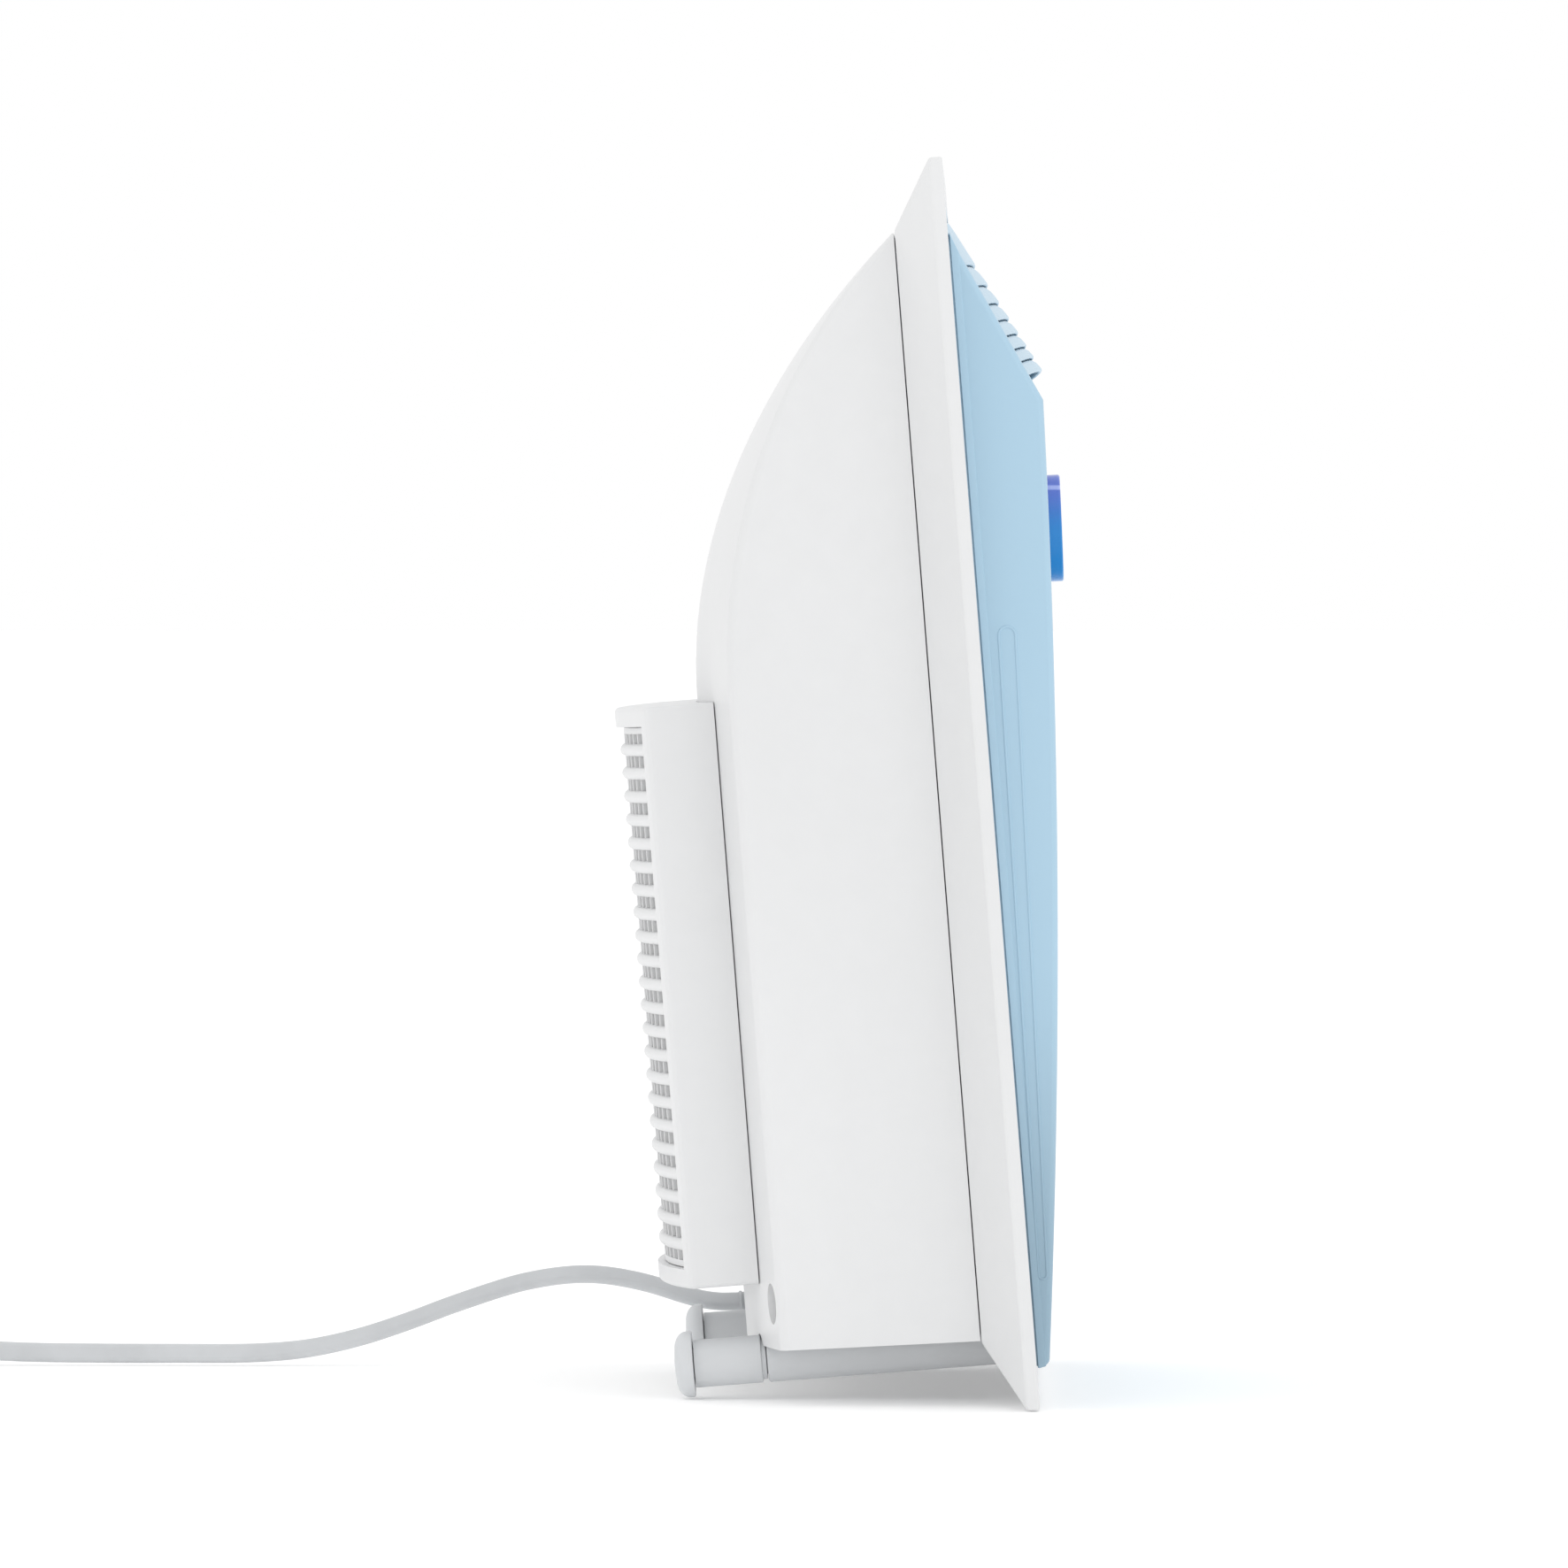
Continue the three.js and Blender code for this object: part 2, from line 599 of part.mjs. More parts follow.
function outletLouver() {
  const bars = [
    louverBar(
      [
        [louverStart, 0],
        [louverStart + LOUVER_TOP_BAR, 0],
        [louverStart + LOUVER_TOP_BAR, LOUVER_THICK],
        [louverStart + 1.2, LOUVER_THICK],
      ],
      louverHalf,
    ),
  ];
  let s = louverStart + LOUVER_TOP_BAR;
  for (let k = 0; k < LOUVER_SLATS; k++) {
    const step = LOUVER_FIRST_STEP * LOUVER_STEP_RATIO ** k;
    const last = k === LOUVER_SLATS - 1;
    const foot = last ? louverEnd : s + step;
    // Each shingle starts lower than the one above it and rises to the skin at its foot.
    bars.push(
      louverBar(
        [
          [s + 0.5, LOUVER_STEP],
          [foot, 0],
          [foot - 1.3 * endSlope, 1.3],
          [s + 0.5, LOUVER_STEP + 1.2],
        ],
        louverHalf,
      ),
    );
    s += step;
  }
  const railSection = (x0, x1) => {
    const rings = [x0, x1].map((x) =>
      [
        [louverStart, 0],
        [louverEnd, 0],
        [louverEnd - 5 * endSlope, 5],
        [louverStart + 4, 5],
      ].map(([at, under]) => [x, ...onSlant(at, louverProud(x, at) - under)]),
    );
    return loft(rings);
  };
  for (const [, side] of SIDES) {
    const [a, b] = [side * (louverHalf - LOUVER_RAIL), side * louverHalf];
    bars.push(railSection(Math.min(a, b), Math.max(a, b)));
  }
  for (let k = 0; k < LOUVER_RIBS; k++) {
    const x = ((k + 1) / (LOUVER_RIBS + 1) - 0.5) * 2 * louverHalf;
    const rib = [
      [louverStart + 6, 1.2],
      [louverEnd - 1.2 * endSlope - 0.3, 1.2],
      [louverEnd - 5 * endSlope - 0.3, 5],
      [louverStart + 6, 5],
    ];
    bars.push(
      loft(
        [x - 0.8, x + 0.8].map((at) =>
          rib.map(([s2, under]) => [at, ...onSlant(s2, louverProud(x, s2) - under)]),
        ),
      ),
    );
  }
  return join(...bars);
}

// The button stands square to the cover's face.
const buttonSlope = Math.atan((coverDepth(BUTTON_HEIGHT + 1) - coverDepth(BUTTON_HEIGHT - 1)) / 2);
const buttonFrame = new THREE.Matrix4()
  .makeTranslation(0, -coverDepth(BUTTON_HEIGHT), BUTTON_HEIGHT)
  .multiply(new THREE.Matrix4().makeRotationX(buttonSlope));
const flangeFront = WALL + 2 * GAP; // depths behind the cover's face, at the button
const flangeRear = flangeFront + 2;
const switchFront = flangeRear + BUTTON_TRAVEL + 1;
const boardFront = switchFront + SWITCH_DEPTH + GAP;
const boardRear = boardFront + BOARD_THICK;
const boardScrewX = CONTROL_BOARD_WIDTH / 2 - 5;

function frontCover() {
  const outer = alongX(coverOutline(0, COVER_SKIRT), -coverHalf, coverHalf, COVER_EDGE);
  const hollow = alongX(coverOutline(WALL, COVER_SKIRT + 10), -coverHalf + WALL, coverHalf - WALL);
  const stripFoot = [coverHalf + STRIP_WIDER, coverBottom - STRIP_WIDER, coverTop + STRIP_WIDER / 2];
  const stripRing = ([half, low, high], y) => [
    [-half, y, low],
    [half, y, low],
    [half, y, high],
    [-half, y, high],
  ];
  const stripTop = coverTop - (STRIP_DEPTH * SLANT_HEIGHT) / COVER_HIGH - 0.2;
  const strip = loft([
    stripRing(stripFoot, -GAP),
    stripRing([coverHalf + 0.1, coverBottom - 0.1, stripTop], -STRIP_DEPTH),
  ]);
  const posts = SIDES.map(([, side]) =>
    rod(3, WALL / 2, boardFront - GAP, side * boardScrewX, 0).applyMatrix4(buttonFrame),
  );
  const postHoles = SIDES.map(([, side]) =>
    rod(SCREW_RADIUS + GAP, WALL + 1, boardFront + 5, side * boardScrewX, 0, 12).applyMatrix4(buttonFrame),
  );
  const louverHole = alongX(
    [
      onSlant(louverStart - GAP, 12),
      onSlant(louverEnd + GAP + 12 * endSlope, 12),
      onSlant(louverEnd + GAP - 12 * endSlope, -12),
      [COVER_SKIRT + 4, coverTop - 12],
      [COVER_SKIRT + 4, louverHead],
      [0, louverHead],
    ],
    -louverHalf - GAP,
    louverHalf + GAP,
  );
  const buttonHole = rod(BUTTON_RADIUS + GAP, -10, WALL + 6, 0, 0, 32).applyMatrix4(buttonFrame);
  const shell = cut(join(outer, strip), hollow);
  return cut(join(shell, ...posts), ...postHoles, louverHole, buttonHole);
}
add("front_cover", frontCover(), "blue");
add("outlet_louver", outletLouver(), "blue");

// ---------------------------------------------------------------- power button and control board

const buttonGroup = new THREE.Group();
buttonGroup.applyMatrix4(buttonFrame);
unit.add(buttonGroup);

const buttonProfile = [
  [0, -BUTTON_PROUD],
  [BUTTON_RADIUS - 0.5, -BUTTON_PROUD],
  [BUTTON_RADIUS, -BUTTON_PROUD + 0.5],
  [BUTTON_RADIUS, flangeFront],
  [BUTTON_RADIUS + BUTTON_FLANGE, flangeFront],
  [BUTTON_RADIUS + BUTTON_FLANGE, flangeRear],
  [BUTTON_RADIUS - 2, flangeRear],
  [BUTTON_RADIUS - 2, flangeRear - 1.6],
  [2.6, flangeRear - 1.6],
  [2.6, flangeRear - GAP],
  [0, flangeRear - GAP],
];
add("power_button", turned(buttonProfile, 0, 0, 40), "lens", buttonGroup);
add("switch_plunger", rod(1.7, flangeRear, switchFront + 1.4, 0, 0, 12), "dark", buttonGroup);
const switchHalf = SWITCH_SIZE / 2;
add(
  "tact_switch",
  cut(
    box(-switchHalf, switchHalf, switchFront, switchFront + SWITCH_DEPTH, -switchHalf, switchHalf),
    rod(1.7 + GAP, switchFront - 1, switchFront + 1.4 + BUTTON_TRAVEL + GAP, 0, 0, 12),
  ),
  "dark",
  buttonGroup,
);
const boardHoles = SIDES.map(([, side]) => circle(side * boardScrewX, 0, SCREW_RADIUS + GAP, 12));
add(
  "control_board",
  alongY(
    rectangle(
      -CONTROL_BOARD_WIDTH / 2,
      CONTROL_BOARD_WIDTH / 2,
      -CONTROL_BOARD_HEIGHT / 2,
      CONTROL_BOARD_HEIGHT / 2,
    ),
    boardFront,
    boardRear,
    boardHoles,
  ),
  "board",
  buttonGroup,
);

// A pan-head screw along Y: its head starts at the seat and lies on the side that "towards" points to.
function screw(seat, towards, length, x, z, headRadius = SCREW_HEAD_RADIUS) {
  const profile = [
    [0, -length],
    [SCREW_RADIUS, -length],
    [SCREW_RADIUS, 0],
    [headRadius, 0],
    [headRadius, SCREW_HEAD_HEIGHT * 0.6],
    [headRadius * 0.7, SCREW_HEAD_HEIGHT],
    [0, SCREW_HEAD_HEIGHT],
  ];
  const geometry = turned(profile, 0, 0, 8);
  if (towards < 0) geometry.rotateX(Math.PI);
  return geometry.translate(x, seat, z);
}
for (const [name, side] of SIDES) {
  add("board_screw_" + name, screw(boardRear + GAP, 1, 8, side * boardScrewX, 0), "metal", buttonGroup);
}

// ---------------------------------------------------------------- filter cover, grille and filter

const coverRearRadius = (FILTER_COVER_WIDTH ** 2 / 4 + FILTER_COVER_CROWN ** 2) / (2 * FILTER_COVER_CROWN);
function rearAt(x) {
  return FILTER_COVER_REAR - coverRearRadius + Math.sqrt(coverRearRadius ** 2 - x ** 2);
}

// A band across the back from one side to the other, between two depths under the crowned rear.
function crownedBand(halfWidth, front, rear, steps) {
  const xs = Array.from({ length: steps + 1 }, (_, i) => halfWidth * (1 - (2 * i) / steps));
  return [...xs.map((x) => [x, rear(x)]), ...xs.reverse().map((x) => [x, front(x)])];
}

function filterCover() {
  const outline = crownedBand(FILTER_COVER_WIDTH / 2, () => SHELL_DEPTH - 12, rearAt, 12);
  const block = alongZ(outline, FILTER_COVER_BOTTOM, FILTER_COVER_BOTTOM + FILTER_COVER_HEIGHT);
  const seat = openingHalf - GAP - SKIRT_WALL;
  const seatLow = openingBottom + GAP + SKIRT_WALL;
  const seatHigh = openingTop - GAP - SKIRT_WALL;
  const clearOfShell = shellSolid(-GAP, shellFront, FILTER_COVER_BOTTOM - 20);
  const ring = cut(
    block,
    clearOfShell,
    box(-seat, seat, 0, 200, seatLow, seatHigh),
    box(-openingHalf, openingHalf, grilleSeat, 200, openingBottom, openingTop),
  );
  const skirtFront = SHELL_DEPTH - SKIRT_REACH + 5;
  const skirt = cut(
    box(
      -openingHalf + GAP,
      openingHalf - GAP,
      skirtFront,
      SHELL_DEPTH + SHELL_CROWN + 1.5,
      openingBottom + GAP,
      openingTop - GAP,
    ),
    box(-seat, seat, 0, 200, seatLow, seatHigh),
  );
  return join(ring, skirt);
}
const grilleSeat = rearAt(openingHalf) - GRILLE_RIB_SET_BACK - GRILLE_RIB_DEPTH - 0.8;

add("filter_cover", filterCover(), "white");

function intakeGrille() {
  const reach = openingHalf - GAP;
  const [low, high] = [openingBottom + GAP, openingTop - GAP];
  const ribRear = (x) => rearAt(x) - GRILLE_RIB_SET_BACK;
  const bars = [];
  const pitch = (openingTop - openingBottom) / (SLATS + 1);
  const slatOutline = crownedBand(
    reach,
    (x) => rearAt(x) - SLAT_SET_BACK - SLAT_DEPTH,
    (x) => rearAt(x) - SLAT_SET_BACK,
    6,
  );
  for (let k = 1; k <= SLATS; k++) {
    const z = openingBottom + k * pitch;
    bars.push(alongZ(slatOutline, z - SLAT_THICK / 2, z + SLAT_THICK / 2));
  }
  for (let k = 0; k < GRILLE_RIBS; k++) {
    const x = ((k + 1) / (GRILLE_RIBS + 1) - 0.5) * 2 * reach;
    const rear = ribRear(x);
    bars.push(
      box(
        x - GRILLE_RIB_WIDTH / 2,
        x + GRILLE_RIB_WIDTH / 2,
        rear - GRILLE_RIB_DEPTH,
        rear,
        low + 0.5,
        high - 0.5,
      ),
    );
  }
  // The border follows the crown along its upper and lower edges.
  const front = () => grilleSeat + GAP;
  const edgeOutline = crownedBand(reach, front, (x) => rearAt(x) - GRILLE_RIB_SET_BACK, 8);
  for (const z of [low, high - GRILLE_BORDER]) bars.push(alongZ(edgeOutline, z, z + GRILLE_BORDER));
  for (const [, side] of SIDES) {
    const [a, b] = [side * (reach - GRILLE_BORDER), side * reach];
    bars.push(box(Math.min(a, b), Math.max(a, b), grilleSeat + GAP, rearAt(reach) - 1, low, high));
  }
  return join(...bars);
}
add("intake_grille", intakeGrille(), "white");

const filterHalf = openingHalf - 2 * GAP - SKIRT_WALL;
const filterLow = openingBottom + 2 * GAP + SKIRT_WALL;
const filterHigh = openingTop - 2 * GAP - SKIRT_WALL;
const filterRear = grilleSeat;
const filterFront = filterRear - FILTER_DEPTH;
add(
  "filter_frame",
  frameRing(2 * filterHalf, filterHigh - filterLow, filterLow, [
    [0, filterFront],
    [0, filterRear],
    [FILTER_FRAME_WALL, filterRear],
    [FILTER_FRAME_WALL, filterFront],
  ]),
  "filter",
);

function pleatedMedia() {
  const reach = filterHalf - FILTER_FRAME_WALL - GAP;
  const paper = 1.4;
  const fold = (i) => (i % 2 ? filterRear - 0.6 : filterFront + 0.6 + paper);
  const xs = Array.from({ length: 2 * PLEATS + 1 }, (_, i) => -reach + (reach * i) / PLEATS);
  const front = xs.map((x, i) => [x, fold(i) - paper]);
  const back = xs.map((x, i) => [x, fold(i)]).reverse();
  const inset = FILTER_FRAME_WALL + GAP;
  return alongZ([...front, ...back], filterLow + inset, filterHigh - inset);
}
add("filter_media", pleatedMedia(), "filter");

// ---------------------------------------------------------------- chassis plate and fan

const fanFront = chassisRear + GAP;
const fanRear = fanFront + FAN_DEPTH;
const fanBore = FAN_SIZE / 2 - 2.5;
const bladeTip = fanBore - FAN_TIP_CLEARANCE;
const fanCorners = [
  [-1, -1],
  [1, -1],
  [1, 1],
  [-1, 1],
].map(([a, b]) => [(a * FAN_SCREW_PITCH) / 2, FAN_CENTRE_HEIGHT + (b * FAN_SCREW_PITCH) / 2]);
const boardsBottom = FAN_CENTRE_HEIGHT + FAN_SIZE / 2 + 6;
const HOLDER_HEIGHT = 8;
const holderBottom = chassisTop - HOLDER_HEIGHT - 4;
const holderHalf = louverHalf - 4;

function chassisPlate() {
  const holes = [circle(0, FAN_CENTRE_HEIGHT, fanBore, 40)];
  for (const [x, z] of fanCorners) holes.push(circle(x, z, SCREW_RADIUS + GAP, 12));
  for (const [, side] of SIDES) {
    for (const z of ledgeHeights) holes.push(circle(side * ledgeX, z, SCREW_RADIUS + GAP, 12));
  }
  const outline = rectangle(-chassisHalf, chassisHalf, CHASSIS_BOTTOM, chassisTop);
  const plate = alongY(outline, CHASSIS_FRONT, chassisRear, holes);
  const standoffs = [8, POWER_BOARD_WIDTH - 8].map((dx) =>
    rod(
      3,
      chassisRear - 1,
      chassisRear + STANDOFF,
      -POWER_BOARD_WIDTH - 4 + dx,
      boardsBottom + POWER_BOARD_HEIGHT / 2,
      12,
    ),
  );
  return join(plate, ...standoffs);
}
add("chassis_plate", chassisPlate(), "dark");

for (const [name, side] of SIDES) {
  ledgeHeights.forEach((z, i) => {
    add(
      "chassis_screw_" + name + "_" + (i + 1),
      screw(CHASSIS_FRONT - GAP, -1, CHASSIS_THICK + LEDGE_DEPTH - 1, side * ledgeX, z),
      "metal",
    );
  });
}

const hubBase = fanFront + 3;
const stator = [hubBase + 2.5, hubBase + 13];
function fanHousing() {
  const s = FAN_SIZE / 2;
  const c = FAN_CENTRE_HEIGHT;
  const frame = alongY(rectangle(-s, s, c - s, c + s), fanFront, fanRear, [
    circle(0, c, fanBore, 40),
    ...fanCorners.map(([x, z]) => circle(x, z, SCREW_RADIUS + GAP, 12)),
  ]);
  const spoke = (turn) =>
    box(-3, 3, fanFront, hubBase, FAN_HUB_RADIUS - 2, fanBore + 1)
      .rotateY(turn)
      .translate(0, 0, c);
  const base = rod(FAN_HUB_RADIUS, fanFront, hubBase, 0, c, 32);
  const tube = rod(SHAFT_RADIUS + GAP + 2.2, hubBase - 1, stator[1], 0, c);
  const bore = rod(SHAFT_RADIUS + GAP, hubBase, fanRear, 0, c, 16);
  const spokes = [0.25, 0.75, 1.25, 1.75].map((share) => spoke(share * Math.PI));
  return cut(join(frame, base, tube, ...spokes), bore);
}
add("fan_housing", fanHousing(), "dark");

const tubeRadius = SHAFT_RADIUS + GAP + 2.2;
add(
  "fan_stator",
  turned(
    [
      [tubeRadius + GAP, stator[0]],
      [FAN_HUB_RADIUS - 4.5, stator[0]],
      [FAN_HUB_RADIUS - 4.5, stator[1]],
      [tubeRadius + GAP, stator[1]],
      [tubeRadius + GAP, stator[0]],
    ],
    0,
    FAN_CENTRE_HEIGHT,
    24,
  ),
  "copper",
);

const cupInner = fanRear - 4;
function fanRotor() {
  const cup = turned(
    [
      [FAN_HUB_RADIUS - 2, hubBase + 1.2],
      [FAN_HUB_RADIUS, hubBase + 1.2],
      [FAN_HUB_RADIUS, fanRear - 2.4],
      [FAN_HUB_RADIUS - 1.2, fanRear - 1.4],
      [0, fanRear - 1.4],
      [0, cupInner],
      [FAN_HUB_RADIUS - 2, cupInner],
      [FAN_HUB_RADIUS - 2, hubBase + 1.2],
    ],
    0,
    0,
    28,
  );
  const chord = FAN_DEPTH * 0.95;
  const thick = 1.4;
  const middle = (hubBase + fanRear) / 2;
  // A blade's section at a radius: a thin quad, pitched less steeply towards the tip.
  const section = (radius, share) => {
    const pitch = THREE.MathUtils.degToRad(44 - 14 * share);
    const [c, s] = [Math.cos(pitch), Math.sin(pitch)];
    return rectangle(-chord / 2, chord / 2, -thick / 2, thick / 2).map(([a, b]) => [
      a * c - b * s,
      middle + a * s + b * c,
      radius,
    ]);
  };
  const stations = [0, 0.33, 0.67, 1];
  const root = FAN_HUB_RADIUS - 1;
  const blades = Array.from({ length: FAN_BLADES }, (_, k) =>
    loft(stations.map((share) => section(root + (bladeTip - root - 1) * share, share))).rotateY(
      (2 * Math.PI * k) / FAN_BLADES,
    ),
  );
  // The blades start on the cup and stay inside the fan's bore.
  const sweep = turned(
    [
      [root, hubBase + 0.8],
      [bladeTip, hubBase + 0.8],
      [bladeTip, fanRear - 1],
      [root, fanRear - 1],
      [root, hubBase + 0.8],
    ],
    0,
    0,
    40,
  );
  return join(cup, ...blades.map((blade) => common(blade, sweep))).translate(0, 0, FAN_CENTRE_HEIGHT);
}
add("fan_rotor", fanRotor(), "dark");
add("fan_shaft", rod(SHAFT_RADIUS, hubBase + GAP, cupInner - GAP, 0, FAN_CENTRE_HEIGHT, 12), "metal");
fanCorners.forEach(([x, z], i) => {
  add("fan_screw_" + (i + 1), screw(CHASSIS_FRONT - GAP, -1, CHASSIS_THICK + 14, x, z), "metal");
});

// ---------------------------------------------------------------- boards and discharge unit

const powerBoardLeft = -POWER_BOARD_WIDTH - 4;
const powerBoardY = chassisRear + STANDOFF + GAP;
add(
  "power_board",
  box(
    powerBoardLeft,
    powerBoardLeft + POWER_BOARD_WIDTH,
    powerBoardY,
    powerBoardY + BOARD_THICK,
    boardsBottom,
    boardsBottom + POWER_BOARD_HEIGHT,
  ),
  "board",
);
function transformer() {
  const [x, y, z] = [powerBoardLeft + 22, powerBoardY + BOARD_THICK + GAP, boardsBottom + 18];
  const core = box(x - 14, x + 14, y, y + 12, z - 12, z + 12);
  const winding = rod(8, y + 1, y + 14, x, z, 20);
  return join(core, winding);
}
add("transformer", transformer(), "copper");
const hvLeft = 10;
add(
  "hv_module",
  box(
    hvLeft,
    hvLeft + HV_MODULE.width,
    chassisRear + GAP,
    chassisRear + GAP + HV_MODULE.depth,
    boardsBottom,
    boardsBottom + HV_MODULE.height,
  ),
  "dark",
);

const barFront = 4;
const barRear = barFront + 6;
function electrodeHolder() {
  const bar = box(-holderHalf, holderHalf, barFront, barRear, holderBottom, holderBottom + HOLDER_HEIGHT);
  const arms = SIDES.map(([, side]) => {
    const [a, b] = [side * (holderHalf - 5), side * holderHalf];
    return box(
      Math.min(a, b),
      Math.max(a, b),
      barFront + 1,
      CHASSIS_FRONT - GAP,
      holderBottom,
      holderBottom + HOLDER_HEIGHT,
    );
  });
  return join(bar, ...arms);
}
add("electrode_holder", electrodeHolder(), "white");

function dischargeComb() {
  const reach = holderHalf - 6;
  const pitch = (2 * reach) / COMB_TEETH;
  const foot = holderBottom + HOLDER_HEIGHT + GAP;
  const teeth = Array.from({ length: COMB_TEETH }, (_, k) => {
    const x = -reach + k * pitch;
    return [
      [x + pitch * 0.3, foot + 2],
      [x + pitch * 0.5, foot + 8],
      [x + pitch * 0.7, foot + 2],
    ];
  }).flat();
  return alongY([[reach, foot], [reach, foot + 2], ...teeth.reverse(), [-reach, foot + 2], [-reach, foot]],
    barFront + 2.6, barFront + 3.2);
}
add("discharge_comb", dischargeComb(), "metal");

function groundGrid() {
  const [low, high] = [holderBottom - 6, holderBottom + HOLDER_HEIGHT];
  const reach = holderHalf - 2;
  const slots = 6;
  const pitch = (2 * reach) / slots;
  const gaps = Array.from({ length: slots }, (_, k) => {
    const x = -reach + k * pitch;
    return box(x + 2, x + pitch - 2, barFront - 3, barFront, low + 2, low + 5);
  });
  return cut(box(-reach, reach, barFront - GAP - 0.8, barFront - GAP, low, high), ...gaps);
}
add("ground_grid", groundGrid(), "metal");

// ---------------------------------------------------------------- legs

// What the frame takes up, with the gap round it: a block with the flare's slope.
const frameEnvelope = loft(
  [
    [0, -5],
    [0, RIM_DEPTH + GAP],
    [FLARE_INSET, shellFront + GAP],
  ].map(([inset, y]) => [
    [-FRAME_WIDTH / 2 + inset, y, inset],
    [FRAME_WIDTH / 2 - inset, y, inset],
    [FRAME_WIDTH / 2 - inset, y, FRAME_HEIGHT - inset],
    [-FRAME_WIDTH / 2 + inset, y, FRAME_HEIGHT - inset],
  ]),
);

for (const [name, side] of SIDES) {
  const x = side * (LEG_SPACING / 2);
  const rodFront = LEG_SOCKET_REAR + LEG_GROOVE;
  const spigotFront = LEG_SOCKET_REAR - LEG_SPIGOT_LENGTH;
  add(
    "leg_socket_" + name,
    cut(
      rod(LEG_RADIUS, RIM_DEPTH, LEG_SOCKET_REAR, x, legHeight, 24),
      frameEnvelope,
      rod(LEG_SPIGOT_RADIUS + GAP, spigotFront - 2, LEG_SOCKET_REAR + 5, x, legHeight, 24),
    ),
    "leg",
  );
  add(
    "leg_rod_" + name,
    turned(
      [
        [0, spigotFront],
        [LEG_SPIGOT_RADIUS, spigotFront],
        [LEG_SPIGOT_RADIUS, LEG_SOCKET_REAR + GAP],
        [LEG_RADIUS - 0.9, LEG_SOCKET_REAR + GAP],
        [LEG_RADIUS - 0.9, rodFront],
        [LEG_RADIUS, rodFront],
        [LEG_RADIUS, LEG_HEAD_FRONT - GAP],
        [LEG_SPIGOT_RADIUS, LEG_HEAD_FRONT - GAP],
        [LEG_SPIGOT_RADIUS, LEG_HEAD_FRONT + 3],
        [0, LEG_HEAD_FRONT + 3],
      ],
      x,
      legHeight,
      24,
    ),
    "leg",
  );
  add(
    "leg_pad_" + name,
    turned(
      [
        [0, LEG_HEAD_FRONT + 3 + GAP],
        [LEG_SPIGOT_RADIUS + GAP, LEG_HEAD_FRONT + 3 + GAP],
        [LEG_SPIGOT_RADIUS + GAP, LEG_HEAD_FRONT],
        ...headProfile,
        [0, LEG_HEAD_FRONT + LEG_HEAD_DEPTH + 0.3],
      ],
      x,
      legHeight,
      32,
    ),
    "leg",
  );
}

// ---------------------------------------------------------------- case screws, strain relief and clamp

for (const [name, side] of SIDES) {
  add(
    "case_screw_" + name,
    screw(POCKET_FLOOR + GAP, 1, 22, side * screwX, CASE_SCREW_HEIGHT, SCREW_HEAD_RADIUS + 0.6),
    "metal",
  );
}

const collarFront = SHELL_DEPTH + crownAt(CORD_SIDE - 4.2, CORD_HEIGHT) + GAP;
add(
  "strain_relief",
  turned(
    [
      [0, RELIEF_INNER],
      [3, RELIEF_INNER],
      [3, collarFront],
      [4.2, collarFront],
      [4.2, collarFront + 1.6],
      [3.5, collarFront + 2],
      [CORD_DIAMETER / 2 + 0.2, RELIEF_OUTER],
      [0, RELIEF_OUTER],
    ],
    CORD_SIDE,
    CORD_HEIGHT,
    16,
  ),
  "cord",
);
const clampY = CLAMP_FRONT + CLAMP_LENGTH / 2;
add(
  "cord_clamp",
  alongZ(
    rectangle(clampScrewX - 3.4, CORD_SIDE + 3, CLAMP_FRONT, CLAMP_FRONT + CLAMP_LENGTH),
    clampTop - 2,
    clampTop,
    [circle(clampScrewX, clampY, SCREW_RADIUS + GAP, 12)],
  ),
  "dark",
);
const clampScrew = screw(0, 1, 6.4, 0, 0)
  .rotateX(Math.PI / 2)
  .translate(clampScrewX, clampY, clampTop + GAP);
add("clamp_screw", clampScrew, "metal");

// ---------------------------------------------------------------- lean the unit and set it on the table

unit.rotation.x = -LEAN;
unit.updateMatrixWorld(true);
const stood = new THREE.Box3().setFromObject(unit, true);
unit.position.set(0, -(stood.min.y + stood.max.y) / 2, -stood.min.z);

// ---------------------------------------------------------------- mains cord, on the table

// From the strain relief it arches over the table's surface, comes down on it and runs on to the coil.
const CORD_ROUTE = [
  [74.5, 29.1, 17.1],
  [74.5, 33.5, 17.1],
  [74.5, 38, 17.7],
  [74.5, 43, 19],
  [74.5, 52, 21.8],
  [74.6, 61, 23.7],
  [74.7, 69, 24.4],
  [74.8, 77, 23.9],
  [74.9, 86, 22.3],
  [75, 94, 20.0],
  [75, 106, 15.9],
  [74.9, 118, 11.4],
  [74.7, 131, 7.2],
  [74.5, 145, 4.2],
  [74.3, 160, 3],
  [74.3, 180, 2.9],
  [74.5, 200, 2.9],
  [74.5, 222, 3.2],
  [74.5, 245, 4.3],
];

// An even-sided tube along a list of points.
function tube(points, radius, steps) {
  const sides = 8;
  const path = new THREE.CatmullRomCurve3(points.map((p) => new THREE.Vector3(...p)));
  return new THREE.ExtrudeGeometry(shapeOf(circle(0, 0, radius, sides)), {
    steps,
    extrudePath: path,
    bevelEnabled: false,
  });
}
add("mains_cord", tube(CORD_ROUTE, CORD_DIAMETER / 2, 24), "cord", cordSet);

